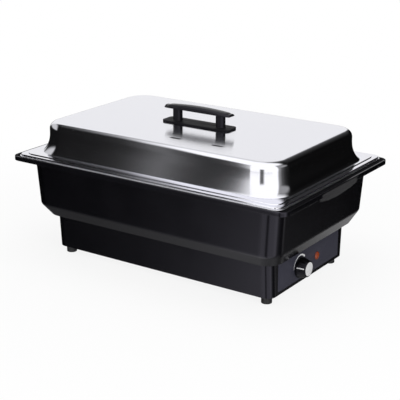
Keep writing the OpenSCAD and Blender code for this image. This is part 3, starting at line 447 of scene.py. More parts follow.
def makeLid(s):
    outside = lidProfile(s)
    inside = insideOf(outside, s.sheet)
    rings = [ringPoints(*p, s.cornerSteps, s.sideShares) for p in inside[::-1] + outside]
    bm = bmesh.new()
    grain = bm.verts.layers.float_vector.new("acrossGrain")
    lay = bm.loops.layers.uv.new("grainMap")
    rows = loftInto(bm, rings)
    count = len(rows[0])
    # lengths round the rim and up the section place the brush strokes
    rim = rings[len(inside)]
    around, up = [0.0], [0.0]
    for j in range(count):
        around.append(around[-1] + (rim[(j + 1) % count] - rim[j]).length * mm)
    for low, high in zip(rings, rings[1:]):
        up.append(up[-1] + (high[0] - low[0]).length * mm)
    spot = {v: (i, j) for i, row in enumerate(rows) for j, v in enumerate(row)}
    for face in bm.faces:
        columns = [spot[l.vert][1] for l in face.loops]
        wraps = max(columns) - min(columns) > 1
        for l in face.loops:
            i, j = spot[l.vert]
            l[lay].uv = (around[count] if wraps and j == 0 else around[j], up[i])
    for i, row in enumerate(rows):
        low, high = rings[max(i - 1, 0)], rings[min(i + 1, len(rings) - 1)]
        for j, v in enumerate(row):
            v[grain] = (high[j] - low[j]).normalized()
    # flat top in two skins, joined round the two steam slots
    half, r, points = s.slotLength / 2, s.slotWidth / 2, s.slotPoints
    for row, under in ((rows[0], s.slotUnder), (rows[-1], 0)):
        z, reach = row[0].co.z, r + under
        edges = [bm.edges.get((row[j], row[(j + 1) % count])) for j in range(count)]
        flat = list(row)
        for x, y in s.slotAt:
            loop = []
            for k in range(points):
                a = 2 * math.pi * (k + 0.5) / points
                cx = half - r if math.cos(a) > 0 else r - half
                spotX, spotY = x + cx + reach * math.cos(a), y + reach * math.sin(a)
                loop.append(bm.verts.new((spotX * mm, spotY * mm, z)))
            edges += [bm.edges.new((loop[k], loop[(k + 1) % points])) for k in range(points)]
            flat += loop
        for v in flat:
            v[grain] = (0, 1, 0)
        made = bmesh.ops.triangle_fill(bm, use_beauty=True, use_dissolve=False, edges=edges, normal=(0, 0, 1))
        for face in made["geom"]:
            if isinstance(face, bmesh.types.BMFace):
                for l in face.loops:
                    l[lay].uv = (l.vert.co.x, l.vert.co.y)
    bm.verts.ensure_lookup_table()
    total = points * len(s.slotAt)
    loose = bm.verts[len(bm.verts) - 2 * total:]
    for k in range(total):
        nextK = k + 1 if (k + 1) % points else k + 1 - points
        bm.faces.new((loose[k], loose[nextK], loose[total + nextK], loose[total + k]))
    return toPiece(bm, "lidShell", lidSteel, sharp=40)


lidShell = makeLid(lidSizes)
handOver(lidShell, "lid", "lid_steel", "lid_shell")
print("lid:", len(lidShell.data.polygons), "faces")


# things that repeat or follow a path are made in Geometry Nodes
def startTree(name, sizes):
    tree = bpy.data.node_groups.new(name, "GeometryNodeTree")
    tree.interface.new_socket(name="Geometry", in_out="INPUT", socket_type="NodeSocketGeometry")
    for label in sizes:
        tree.interface.new_socket(name=label, in_out="INPUT", socket_type="NodeSocketFloat")
    tree.interface.new_socket(name="Finish", in_out="INPUT", socket_type="NodeSocketMaterial")
    tree.interface.new_socket(name="Geometry", in_out="OUTPUT", socket_type="NodeSocketGeometry")
    return tree, addNode(tree, "NodeGroupInput").outputs


def endTree(tree, given, geometry):
    real = addNode(tree, "GeometryNodeRealizeInstances", links={"Geometry": geometry})
    faced = addNode(tree, "GeometryNodeSetMaterial", links={"Geometry": real, "Material": given["Finish"]})
    addNode(tree, "NodeGroupOutput", links={0: faced})


def endOnPoints(tree, given, shape):
    # one copy of the shape on each point
    endTree(tree, given, addNode(tree, "GeometryNodeInstanceOnPoints",
                                 links={"Points": given["Geometry"], "Instance": shape}))


def times(tree, factor, size):
    return addNode(tree, "ShaderNodeMath", {"operation": "MULTIPLY"}, {1: factor}, {0: size})


def rod(tree, sides, radius, depth):
    return addNode(tree, "GeometryNodeMeshCylinder", values={"Vertices": sides},
                   links={"Radius": radius, "Depth": depth})


def taper(tree, sides, low, high, depth):
    return addNode(tree, "GeometryNodeMeshCone", values={"Vertices": sides},
                   links={"Radius Bottom": low, "Radius Top": high, "Depth": depth})


def raised(tree, shape, rise):
    way = addNode(tree, "ShaderNodeCombineXYZ", links={"Z": rise})
    return addNode(tree, "GeometryNodeTransform", links={"Geometry": shape, "Translation": way})


def without(tree, shape, cutters):
    return addNode(tree, "GeometryNodeMeshBoolean", {"operation": "DIFFERENCE"},
                   links={"Mesh 1": shape, "Mesh 2": cutters})


def runTree(name, tree, sizes, finish, points, closed=False, soften=0.0, sharp=35):
    # sizes in mm go in by the names of the tree's inputs; closed joins the points to a path
    count = len(points)
    mesh = bpy.data.meshes.new(name)
    mesh.from_pydata([Vector(p) * mm for p in points],
                     [(k, (k + 1) % count) for k in range(count)] if closed else [], [])
    piece = putInScene(name, mesh)
    build = piece.modifiers.new("build", "NODES")
    build.node_group = tree
    for item in tree.interface.items_tree:
        if hasattr(sizes, item.name):
            build[item.identifier] = getattr(sizes, item.name) * mm
        elif item.name == "Finish":
            build[item.identifier] = finish
    if soften:
        edge = piece.modifiers.new("edge", "BEVEL")
        edge.width, edge.segments = soften * mm, meshSizes.bevelSteps
        edge.limit_method, edge.angle_limit = "ANGLE", math.radians(meshSizes.bevelAngle)
    bakePiece(piece)
    shadeEdges(piece, sharp)
    return piece


def fourCorners(x, y, z):
    return [(sx * x, sy * y, z) for sx in (-1, 1) for sy in (-1, 1)]


# cross-head screws, head down and shank up, one on each point; shares are of the head's radius
screwShape = Spec(crown=0.72, cross=(1.15, 0.26), headSides=40, shankSides=28)
footAt = (217.4, 113.2)
postAt = 47  # the posts of the lid's handle
screwSets = dict(
    bottomScrews=Spec(at=fourCorners(99, 124, 14), headRadius=3.2, headHeight=2.2, shankRadius=1.7,
                      length=13.2, body="dish_body", node="bottom_screws"),
    footScrews=Spec(at=fourCorners(*footAt, 9), headRadius=4.2, headHeight=2.8, shankRadius=2.2,
                    length=20.2, body="dish_body", node="foot_screws"),
    handleScrews=Spec(at=[(s * postAt, 0, 254.4) for s in (-1, 1)], headRadius=3.2, headHeight=2.2,
                      shankRadius=1.7, length=23.0, body="lid", node="handle_screws"))
screwTree, given = startTree("crossScrews", ("headRadius", "headHeight", "shankRadius", "length"))
headRadius, headHeight, shankRadius = [given[label] for label in ("headRadius", "headHeight", "shankRadius")]
head = taper(screwTree, screwShape.headSides, headRadius, times(screwTree, screwShape.crown, headRadius),
             headHeight)
flip = addNode(screwTree, "GeometryNodeTransform", values={"Rotation": (math.pi, 0, 0)},
               links={"Geometry": head})
shank = taper(screwTree, screwShape.shankSides, shankRadius, shankRadius, given["length"])
bars = []
for shares in (screwShape.cross, screwShape.cross[::-1]):
    along, across = [times(screwTree, share, headRadius) for share in shares]
    size = addNode(screwTree, "ShaderNodeCombineXYZ", links={"X": along, "Y": across, "Z": headHeight})
    bar = addNode(screwTree, "GeometryNodeMeshCube", links={"Size": size})
    bars.append(raised(screwTree, bar, times(screwTree, -1.0, headHeight)))
recess = without(screwTree, flip, bars)
endOnPoints(screwTree, given, addNode(screwTree, "GeometryNodeJoinGeometry", links={0: [shank, recess]}))
for name, s in screwSets.items():
    handOver(runTree(name, screwTree, s, platedSteel, s.at), s.body, "plated_steel", s.node)

# rubber feet: a turned block with a recess for its screw
feetSizes = Spec(at=fourCorners(*footAt, 7), radius=9.5, height=14, recessRadius=5.4, recessDepth=9,
                 boreRadius=2.3, edge=0.9, blockSides=56, wellSides=40, boreSides=28)
feetTree, given = startTree("screwedFeet", ("radius", "height", "recessRadius", "recessDepth", "boreRadius"))
block = rod(feetTree, feetSizes.blockSides, given["radius"], given["height"])
# the cutters are twice as long as they cut, and the recess's is centred on the foot's underside
well = rod(feetTree, feetSizes.wellSides, given["recessRadius"], times(feetTree, 2.0, given["recessDepth"]))
lowered = raised(feetTree, well, times(feetTree, -0.5, given["height"]))
bore = rod(feetTree, feetSizes.boreSides, given["boreRadius"], times(feetTree, 2.0, given["height"]))
endOnPoints(feetTree, given, without(feetTree, block, [lowered, bore]))
feet = runTree("rubberFeet", feetTree, feetSizes, footRubber, feetSizes.at, soften=feetSizes.edge)
handOver(feet, "dish_body", "foot_rubber", "foot_front_left", "foot_front_right", "foot_rear_left",
         "foot_rear_right")

# rolled edges, swept along an outline: one just inside the lid's lower edge, one on the water pan's flange
hemSizes = Spec(inset=1.1, lift=0.7, cornerSteps=20, beadSides=12)
hemSets = dict(
    lidHem=Spec(edge=[size - hemSizes.inset for size in (*lidSizes.edgeHalf, lidSizes.edgeCorner)],
                height=lidSizes.lipBottom + hemSizes.lift, bead=0.7, finish=panSteel,
                body="lid", slot="lid_steel"),
    panHem=Spec(edge=(280.3, 184.1, 15.4), height=196.2, bead=0.7, finish=edgeSteel,
                body="dish_body", slot="pan_steel"))
hemTree, given = startTree("rolledHem", ("bead",))
path = addNode(hemTree, "GeometryNodeMeshToCurve", links={"Mesh": given["Geometry"]})
loop = addNode(hemTree, "GeometryNodeCurvePrimitiveCircle", values={"Resolution": hemSizes.beadSides},
               links={"Radius": given["bead"]})
endTree(hemTree, given, addNode(hemTree, "GeometryNodeCurveToMesh",
                                links={"Curve": path, "Profile Curve": loop}))
for name, s in hemSets.items():
    edgeLine = ringPoints(*s.edge, s.height, hemSizes.cornerSteps)
    hem = runTree(name, hemTree, s, s.finish, edgeLine, closed=True, sharp=60)
    handOver(hem, s.body, s.slot)
print("repeats: screws, feet, hems")

# body: base, sloping band, walls and a channel-shaped rim in one shell, with a carry grip at each end
bodySizes = Spec(
    stations=[  # half length, half width, corner radius, height
        (235.8, 130.5, 16, 14), (235.8, 134.3, 16, 79.5), (248.4, 146.9, 28, 79.5),
        (259.9, 163.5, 28, 102.7), (266.2, 166.4, 28, 192.6), (289.5, 184.7, 15, 192.6),
        (289.5, 184.7, 15, 187.5), (292.5, 187.7, 18, 187.5), (292.5, 187.7, 18, 195.6),
        (289.5, 184.7, 15, 195.6), (263.2, 163.4, 25, 195.6), (256.9, 160.5, 25, 102.7),
        (246.6, 145.1, 25, 82.5), (232.8, 131.3, 13, 82.5), (232.8, 127.5, 13, 14)],
    cuts=[0.8, 0.7, 1.0, 3.0, 1.2, 0.8, 0.6, 0.8, 1.4, 0, 0.8, 0, 0, 0, 0.4],
    cornerSteps=20, sideShares=(0.012, 0.1, 0.3, 0.5, 0.7, 0.9, 0.988),
    panelHalf=(108, 26), panelCorner=3, panelSteps=6, panelMid=46, panelReach=(229.8, 238),
    glandAt=(150, 0, 45), glandHole=8.1, glandReach=(120, 140),
    padRadius=15, padReach=(126.5, 134.8), padEdge=0.8,
    rimBottom=187.5, rimTop=195.6, rimEnd=292.5, rimSide=187.7, rimLip=3, wall=3, wallEnd=265,
    gripHalf=66, gripDrop=15, gripEndDrop=7, gripLean=7.62, gripTop=194.1, gripRound=1.0, gripRoundSteps=4,
    gripSteps=20, gripRise=3, gripTuck=0.4, gripSeam=0.02, webTuck=1)


def gripEdge(s, y):
    # lower edge of a carry grip: a shallow bow, deepest in the middle
    bow = s.gripDrop - s.gripEndDrop
    radius = (s.gripHalf ** 2 + bow ** 2) / (2 * bow)
    return s.rimBottom - s.gripDrop + radius - math.sqrt(radius ** 2 - y ** 2)


def gripFace(s, z):
    # the grip's face leans in from the rim's upper edge
    low = s.rimBottom - s.gripDrop
    return s.rimEnd - s.gripLean * (s.gripTop - z) / (s.gripTop - low)


def gripInto(bm, s, side):
    apron = []
    seam, t, r, tuck = s.rimBottom, s.wall, s.gripRound, s.gripTuck
    top = seam + s.gripRise
    quarter = quarterTurn(s.gripRoundSteps)
    for k in range(2 * s.gripSteps + 1):
        y = s.gripHalf * (k / s.gripSteps - 1)
        low = gripEdge(s, y)
        # section: behind the rim, down the outer face, round the lower edge, up the inner face
        section = [(gripFace(s, top) - tuck, top), (gripFace(s, seam) - tuck, seam + s.gripSeam),
                   (gripFace(s, seam), seam)]
        section += [(gripFace(s, low + r) - r + r * math.cos(a), low + r - r * math.sin(a)) for a in quarter]
        section += [(gripFace(s, low) - t + r - r * math.sin(a), low + r - r * math.cos(a)) for a in quarter]
        section += [(gripFace(s, top) - t, top)]
        apron.append([Vector((side * x, y, z)) for x, z in section])
    loftInto(bm, apron, caps=True)
    # web from the wall to the apron at each end
    low = gripEdge(s, s.gripHalf - t)
    corners = [(s.wallEnd, low), (gripFace(s, low) - s.webTuck, low),
               (gripFace(s, top) - s.webTuck, top), (s.wallEnd, top)]
    for end in (-1, 1):
        loftInto(bm, [[Vector((side * x, end * y, z)) for x, z in corners]
                      for y in (s.gripHalf, s.gripHalf - t)], caps=True)


def makeBody(s):
    bm = bmesh.new()
    line = softened(s.stations, s.cuts, closed=True)
    loftInto(bm, [ringPoints(*p, s.cornerSteps, s.sideShares) for p in line], closed=True)
    shell = toPiece(bm, "bodyShell", bodyBlack)
    # opening for the control panel in the +X end
    bm = bmesh.new()
    outlines = [ringPoints(*s.panelHalf, s.panelCorner, x, s.panelSteps) for x in s.panelReach]
    loftInto(bm, [[Vector((p.z, p.x, p.y + s.panelMid)) for p in outline] for outline in outlines],
             caps=True)
    carve(shell, bm)
    # hole for the cord gland in the rear wall
    bm = bmesh.new()
    turned(bm, [(s.glandHole, y) for y in s.glandReach], s.glandAt, (0, 1, 0))
    carve(shell, bm)
    # the rim's ends are cut to the grips' lean
    low, far = s.rimBottom - 0.5, s.rimEnd + 2  # past the rim below and outside
    wedge = [(s.rimEnd, s.gripTop), (far, s.gripTop), (far, low), (gripFace(s, low), low)]
    for side in (-1, 1):
        bm = bmesh.new()
        loftInto(bm, [[Vector((side * x, y, z)) for x, z in wedge] for y in (-s.gripHalf, s.gripHalf)],
                 caps=True)
        carve(shell, bm)
    bm = bmesh.new()
    bm.from_mesh(shell.data)
    for side in (-1, 1):
        gripInto(bm, s, side)
    # raised pad round the gland's hole
    padFrom, padTo = s.padReach
    pad = roundedOutline([(s.glandHole, padFrom), (s.padRadius, padFrom), (s.padRadius, padTo),
                          (s.glandHole, padTo)], [0, 0, s.padEdge, 0])
    turned(bm, pad, s.glandAt, (0, 1, 0), closed=True)
    bpy.data.objects.remove(shell)
    shell = toPiece(bm, "bodyShell", bodyBlack)
    shell.data.materials.append(rimBlack)
    # the seat inside the rim's lip is dull, and the grips' faces stay flat up to their edges
    seat = Spec(level=0.98, height=s.rimTop - 0.1,
                x=s.rimEnd - s.rimLip, y=s.rimSide - s.rimLip)
    lean = Vector((s.gripTop - s.rimBottom, 0, gripFace(s, s.rimBottom) - s.rimEnd)).normalized()
    onFace, offFace = 0.9999, 0.999  # how closely a face follows the lean
    bm = bmesh.new()
    bm.from_mesh(shell.data)
    for face in bm.faces:
        mid = face.calc_center_median() / mm
        inside = abs(mid.x) < seat.x and abs(mid.y) < seat.y
        if inside and face.normal.z > seat.level and mid.z > seat.height:
            face.material_index = 1
    for edge in bm.edges:
        ways = [abs(f.normal.x) * lean.x + f.normal.z * lean.z for f in edge.link_faces]
        if ways and max(ways) > onFace and min(ways) < offFace:
            edge.smooth = False
    bm.to_mesh(shell.data)
    bm.free()
    return shell


bodyShell = makeBody(bodySizes)
handOver(bodyShell, "dish_body", "body_black", "body_shell")
print("body:", len(bodyShell.data.polygons), "faces")

# pans: pressed sheet with a filleted floor and a flange
waterPanSizes = Spec(low=(248, 145.5), top=(256, 153.5), flange=(281, 184.8), flangeCorner=16.5, corner=38,
                     fillet=12, floor=105.4, seat=195.6, sheet=0.8, turnDown=0)
foodPanSizes = Spec(low=(244.2, 141.7), top=(252.2, 149.7), flange=(265, 162.5), flangeCorner=14, corner=37.2,
                    fillet=12, floor=134.2, seat=198.4, sheet=0.8, turnDown=2.0)
panShape = Spec(footSteps=7, outerBend=1.6, innerBend=2.2, plainEdge=(0.2, 0.35),
                turnedEdge=(0.4, 0.15, 0.15, 1.0), hold=1.0, floorRing=0.97,
                cornerSteps=20, sideShares=(0.012, 0.25, 0.5, 0.75, 0.988))


def panFoot(half, corner, fillet, z):
    line = []
    for a in quarterTurn(panShape.footSteps):
        inward = fillet * (1 - math.sin(a))
        line.append((half[0] - inward, half[1] - inward, corner - inward / 2, z + fillet * (1 - math.cos(a))))
    return line


def makePan(name, s):
    t, seat, top = s.sheet, s.seat, s.seat + s.sheet
    outer = panFoot([half + t for half in s.low], s.corner + t, s.fillet + t, s.floor - t)
    inner = panFoot(s.low, s.corner, s.fillet, s.floor)
    edge = (*s.flange, s.flangeCorner)
    if s.turnDown:
        within, foot = [size - t for size in edge], seat - s.turnDown
        flange = [(*within, seat), (*within, foot), (*edge, foot), (*edge, top)]
        flangeCuts = panShape.turnedEdge
    else:
        flange, flangeCuts = [(*edge, seat), (*edge, top)], panShape.plainEdge
    outerTop = (*[half + t for half in s.top], s.corner + t, seat)
    innerTop = (*s.top, s.corner, top)
    cuts = [0, panShape.outerBend, *flangeCuts, panShape.innerBend, 0]
    profile = softened([outer[-1], outerTop, *flange, innerTop, inner[-1]], cuts, hold=panShape.hold)
    line = outer[:-1] + [tuple(p) for p in profile] + inner[-2::-1]
    bm = bmesh.new()
    rows = loftInto(bm, [ringPoints(*p, panShape.cornerSteps, panShape.sideShares) for p in line])
    for row in (rows[0], rows[-1]):
        # a small ring inside the floor keeps it flat up to its edge
        share = panShape.floorRing
        ring = [bm.verts.new((v.co.x * share, v.co.y * share, v.co.z)) for v in row]
        for j in range(len(row)):
            k = (j + 1) % len(row)
            bm.faces.new((row[j], row[k], ring[k], ring[j]))
        bm.faces.new(ring)
    return toPiece(bm, name, panSteel)


waterPan = makePan("waterPan", waterPanSizes)
foodPan = makePan("foodPan", foodPanSizes)

# studs welded under the water pan, for its nuts
studSets = dict(
    rimStuds=Spec(at=[(x, s * 175.55, 192.1) for x in (-180, 0, 180) for s in (-1, 1)], radius=2, length=7),
    clampStuds=Spec(at=[(x, s * 50, 96.5) for x in (-100, 0, 100) for s in (-1, 1)], radius=2.5, length=16.2),
    cutoutStud=Spec(at=[(40, -28, 101.1)], radius=2.5, length=7.4))
studSides = 20
studTree, given = startTree("weldedStuds", ("radius", "length"))
endOnPoints(studTree, given, rod(studTree, studSides, given["radius"], given["length"]))
for name, s in studSets.items():
    handOver(runTree(name, studTree, s, platedSteel, s.at), "dish_body", "pan_steel")
handOver(waterPan, "dish_body", "pan_steel", "water_pan")
handOver(foodPan, "pan", "pan_steel", "food_pan")
print("pans:", len(waterPan.data.polygons), "and", len(foodPan.data.polygons), "faces")

# lid handle: an arched bar with a step along its sides, on two posts that flare at both ends
handleSizes = Spec(
    barHalf=71, barWidth=22, barDepth=9, barEdge=5.6, arch=4, barSteps=16, flat=0.25, shoulder=0.62,
    shoulderDrop=0.8, slab=3.0, slabStep=1.0, slabGap=0.6, crease=0.3, under=281.4,
    tipShare=0.85, tipTo=0.925, tipWidth=0.8, tipHeight=4.6, tipEdge=1.1,
    cuts=[0.4, 0.2, 0.1, 0.2, 0.5, 0.5], hold=9, roundSteps=3,
    postFrom=259.4, postInto=0.6, postAt=postAt, postHalf=(8.5, 6), postCorner=4, postFlare=0.9, postSteps=8,
    postShares=(0.15, 0.85),
    # height from the post's end and share of the flare
    postFoot=((0, 0.9), (0.25, 0.45), (0.7, 0.15), (1.4, 0)),
    postHead=((-2.4, 0), (-1.5, 0.15), (-0.9, 0.45), (-0.6, 0.9), (0, 1.0)))


def barSection(s, u):
    tip = min(max(0.0, (abs(u) - s.tipShare) / (s.tipTo - s.tipShare)), 1.0)
    end = max(0.0, (abs(u) - s.tipShare) / (1 - s.tipShare))
    half = s.barWidth / 2 * (1 - (1 - s.tipWidth) * end ** 2)
    drop = s.arch * u * u
    top = (s.barDepth - drop) * (1 - tip ** 2) + s.tipHeight * tip ** 2
    edge = min(s.barEdge - drop, top - s.tipEdge)
    shoulder = max(top - s.shoulderDrop, edge + s.crease)
    slab = min(s.slab, edge - s.slabGap)
    stepped = half - s.slabStep
    right = [(half, 0), (half, slab), (stepped, slab + s.crease), (stepped, edge),
             (s.shoulder * half, shoulder), (s.flat * half, top)]
    outline = right + [(-y, z) for y, z in right[::-1]]
    line = softened([(y, 0, 0, z) for y, z in outline], s.cuts + s.cuts[::-1], hold=s.hold,
                    steps=s.roundSteps, closed=True)
    return [Vector((u * s.barHalf, p[0], s.under + p[3])) for p in line]


def makeGrip(s):
    bm = bmesh.new()
    steps = s.barSteps
    shares = [-1 + (1 - s.tipShare) * i / steps for i in range(steps)]
    shares += [s.tipShare * (i / steps - 1) for i in range(2 * steps + 1)]
    shares += [-u for u in shares[steps - 1::-1]]
    loftInto(bm, [barSection(s, u) for u in shares], caps=True)
    low, high = s.postFrom, s.under + s.postInto
    heights = [(low + z, share) for z, share in s.postFoot]
    heights += [(high + z, share) for z, share in s.postHead]
    for side in (-1, 1):
        rings = []
        for z, share in heights:
            out = share * s.postFlare
            halves = [half + out for half in s.postHalf]
            ring = ringPoints(*halves, s.postCorner + out, z, s.postSteps, s.postShares)
            rings.append([p + Vector((side * s.postAt, 0, 0)) for p in ring])
        loftInto(bm, rings, caps=True)
    return toPiece(bm, "handleGrip", handleBlack, sharp=30)


handleGrip = makeGrip(handleSizes)
handOver(handleGrip, "lid", "handle_black", "handle_grip")
print("handle:", len(handleGrip.data.polygons), "faces")

# CAD pieces that keep their form and get moulded or deburred edges
knobCentre = (236.2, -34, 43)
knobSilver = spunAluminium("aluminium_spun_disc", "#ececee", "#fafafa", knobCentre)
softSets = dict(
    handlePlate=Spec(node="handle_base", finish=plateBlack, edge=0.9, body="lid", slot="handle_black"),
    controlPanel=Spec(node="control_panel", finish=panelGrey, edge=0.35,
                      body="dish_body", slot="panel_black"),
    thermostatKnob=Spec(node="knob", finish=knobBlack, edge=0.45, body="dial", slot="knob_black"),
    knobDisc=Spec(node="knob_cap", finish=knobSilver, edge=0.25, body="dial", slot="knob_silver"),
    knobLine=Spec(node="knob_pointer", finish=printWhite, edge=0.08, segments=2,
                  body="dial", slot="print_white"),
    cordGland=Spec(node="cord_gland", finish=handleBlack, edge=0.6, body="dish_body", slot="handle_black"))
for name, s in softSets.items():
    piece = softCopy(s.node, name, s.finish, s.edge, getattr(s, "segments", meshSizes.bevelSteps))
    handOver(piece, s.body, s.slot, s.node)
print("softened CAD pieces:", len(softSets))

# print round the knob: a wedge that widens towards the hot end, as a film on the panel.
# Angles are in degrees: 180 is to the front (-Y), 90 is up
scaleSizes = Spec(centre=knobCentre, radius=20.8, start=178.0, end=42.0, thin=0.5, thick=3.2, steps=64,
                  lift=0.04)


def makeScale(s):
    bm = bmesh.new()
    x0, yc, zc = s.centre
    near = s.radius
    rows = []
    for k in range(s.steps + 1):
        t = k / s.steps
        a = math.radians(s.start + (s.end - s.start) * t)
        far = near + s.thin + (s.thick - s.thin) * t
        section = [(near, 0), (far, 0), (far, s.lift), (near, s.lift)]
        rows.append([Vector((x0 + lift, yc + r * math.cos(a), zc + r * math.sin(a))) for r, lift in section])
    loftInto(bm, rows, caps=True)
    return toPiece(bm, "panelScale", printWhite)


scalePrint = makeScale(scaleSizes)
handOver(scalePrint, "dish_body", "print_white")

# pilot lamp's lens: a dome with a flange, on a barrel through the panel
lensSizes = Spec(centre=(236.2, 27, 45), radius=7.25, flange=1.0, flangeRun=0.6, edges=[0, 0.1, 0.3, 0],
                 dome=3.4, domeInset=0.7, domeSteps=14, barrel=4.75, barrelDepth=4, sides=64)


def makeLens(s):
    bm = bmesh.new()
    r, barrel, flange = s.radius, s.barrel, s.flange
    outline = [(0, -s.barrelDepth), (barrel, -s.barrelDepth), (barrel, 0)]
    flangeLine = [(barrel, 0), (r, 0), (r, flange), (r - s.flangeRun, flange)]
    outline += roundedOutline(flangeLine, s.edges)[1:]
    for a in quarterTurn(s.domeSteps)[1:]:
        outline.append(((r - s.domeInset) * math.cos(a), flange + (s.dome - flange) * math.sin(a)))
    turned(bm, outline, s.centre, (1, 0, 0), s.sides)
    return toPiece(bm, "pilotLens", lensOrange, sharp=40)


lens = makeLens(lensSizes)
handOver(lens, "dish_body", "lens_orange", "lamp_lens")
print("panel: scale and lamp lens")

# CAD pieces that stay as they are get their finish
finishes = dict(plated_steel=platedSteel, element_sheath=elementSheath, copper=copper,
                white_plastic=whitePlastic, handle_black=handleBlack, wire_cover=wireCover)
kept = 0
for part in frame["record"]["subparts"]:
    name, slot = part["node"], part["material_slot"]
    if slot in finishes and not nodes[name].hide_render:
        nodes[name].data.materials.clear()
        nodes[name].data.materials.append(finishes[slot])
        kept += 1
print("kept CAD pieces:", kept)

# stage, light and camera: from here on sizes are in metres
stageSizes = Spec(floor=9.0, floorSides=64, paper="#f2f2f2", shadowReach=(0.35, 0.95), shadowWhite=0.86,
                  skyLevel=0.62)


def stagePiece(bm, name, finish):
    piece = toPiece(bm, name, finish)
    return piece


# white sweep: keeps a faint shadow near the dish and runs out to plain white
floorWhite, tree = startFinish("paper_white_sweep")
away = addNode(tree, "ShaderNodeVectorMath", {"operation": "LENGTH"}, links={0: placeOn(tree)})
shadowNear, shadowFar = stageSizes.shadowReach
fade = addNode(tree, "ShaderNodeMapRange", {"interpolation_type": "SMOOTHSTEP"},
               {1: shadowNear, 2: shadowFar, 3: stageSizes.shadowWhite, 4: 1.0},
               {0: away.outputs["Value"]})
ray = addNode(tree, "ShaderNodeLightPath")
seen = addNode(tree, "ShaderNodeMath", {"operation": "MULTIPLY"},
               links={0: fade, 1: ray.outputs["Is Camera Ray"]})
paper = addNode(tree, "ShaderNodeBsdfDiffuse", values={"Color": srgb(stageSizes.paper)})
glow = addNode(tree, "ShaderNodeEmission", values={"Color": (1, 1, 1, 1), "Strength": 1.0})
closeFinish(floorWhite, addNode(tree, "ShaderNodeMixShader", links={0: seen, 1: paper, 2: glow}))
bm = bmesh.new()
bmesh.ops.create_circle(bm, cap_ends=True, segments=stageSizes.floorSides, radius=stageSizes.floor)
floor = stagePiece(bm, "floor", floorWhite)
floor.visible_glossy = floor.visible_transmission = False  # the steel mirrors the tent's table instead

# black tent round the set with white cloths in it, seen only in reflections: the bright steel needs both.
# Stops are (place, level), and a pair is where the edge of a cloth begins and ends. A place is a part of the
# direction (x to the right, y to the back, z up), or an angle in degrees from the front: turn towards +X,
# roll upwards
tentSizes = Spec(
    radius=60.0, columns=360, rows=300, fineRows=(-0.68, -0.48, 0.001), dark=0.003,
    # soft boxes in front, by x and by turn, with a dark slit low down and a gap between two boxes
    frontStops=((-0.66, 0.008), (-0.62, 0.015), (-0.6, 0.03), (-0.59, 0.06), (-0.58, 0.115),
                (-0.569, 0.165), (-0.56, 0.115), (-0.548, 0.06), (-0.537, 0.036), (-0.525, 0.033),
                (-0.511, 0.045), (-0.505, 0.09), (-0.5015, 0.24), (-0.496, 1.3)),
    turnStops=((-100, 0.0), (-90, 1.3), (80, 1.3), (87, 0.4), (102, 0.1), (118, 0.03), (134, 0.012),
               (150, 0.004)),
    frontLean=0.004, leanDown=(0, 0.28), slitDepth=0.85, slitDown=(0.29, 0.31), slitBack=0.65,
    slitEnd=(0.345, 0.375), slitRight=(0.75, 0.85), gapStops=((2, 0.0), (8, 0.87), (18, 0.87), (26, 0.0)),
    gapUp=(0.05, 0.25),
    # cloth overhead that runs down behind: where it starts and how softly, by x
    rollStart=((-0.6, 62), (-0.58, 54), (-0.558, 52), (-0.536, 46), (-0.513, 44), (-0.5, 36)),
    rollWidth=((-0.6, 70), (-0.58, 46), (-0.558, 44), (-0.536, 20), (-0.513, 14)),
    overStops=((-0.66, 0.04), (-0.639, 0.13), (-0.62, 0.33), (-0.601, 0.6), (-0.58, 0.95), (-0.558, 1.3)),
    overDim=0.4, overDimRoll=(108, 128), overSlope=0.6, overEnd=(-0.06, 0.4),
    # what lies behind on the left, and the sheen behind on the right
    rightFrom=(-0.36, -0.26), rearFrom=(0.3, 0.6), behindBack=(0.3, 0.45), behindUp=(-0.1, 0.05),
    behindTop=(0.44, 0.56), sheenStops=((-0.26, 0.25), (-0.14, 0.06), (0.2, 0.022), (0.5, 0.008)),
    sheenUp=(0.2, 0.55),
    # strip low on the right, by turn, which shows in the end wall's corner
    stripStops=((130, 0.0), (140, 0.5), (148, 0.2), (150.5, 0.1), (152, 0.05), (154, 0.015), (156, 0.003)),
    stripDown=(0.31, 0.37), stripEnd=(0.42, 0.47),
    # cloths high on both sides, which only the other views see in the lid's top: level, sideways, up
    leftCloth=(0.7, (0.68, 0.8), (0.08, 0.3)), rightCloth=(0.35, (0.58, 0.76), (0.15, 0.35)),
    # white table, in front and, by z, behind
    tableLevel=0.125, tableRight=0.17, tableRightFrom=(-0.65, -0.47), tableDown=(0.45, 0.62),
    tableBack=(0.3, 0.7),
    tableStops=((-0.7, 0.14), (-0.6, 0.17), (-0.56, 0.35), (-0.53, 0.7), (-0.48, 0.75), (-0.43, 0.2),
                (-0.4, 0.0)),
    tableTop=(0.3, 0.45), tableDim=0.83, tableDimFrom=(0.03, 0.11))


def levelAt(stops, value):
    if value <= stops[0][0]:
        return stops[0][1]
    for (a, levelA), (b, levelB) in zip(stops, stops[1:]):
        if value <= b:
            return levelA + (levelB - levelA) * (value - a) / (b - a)
    return stops[-1][1]


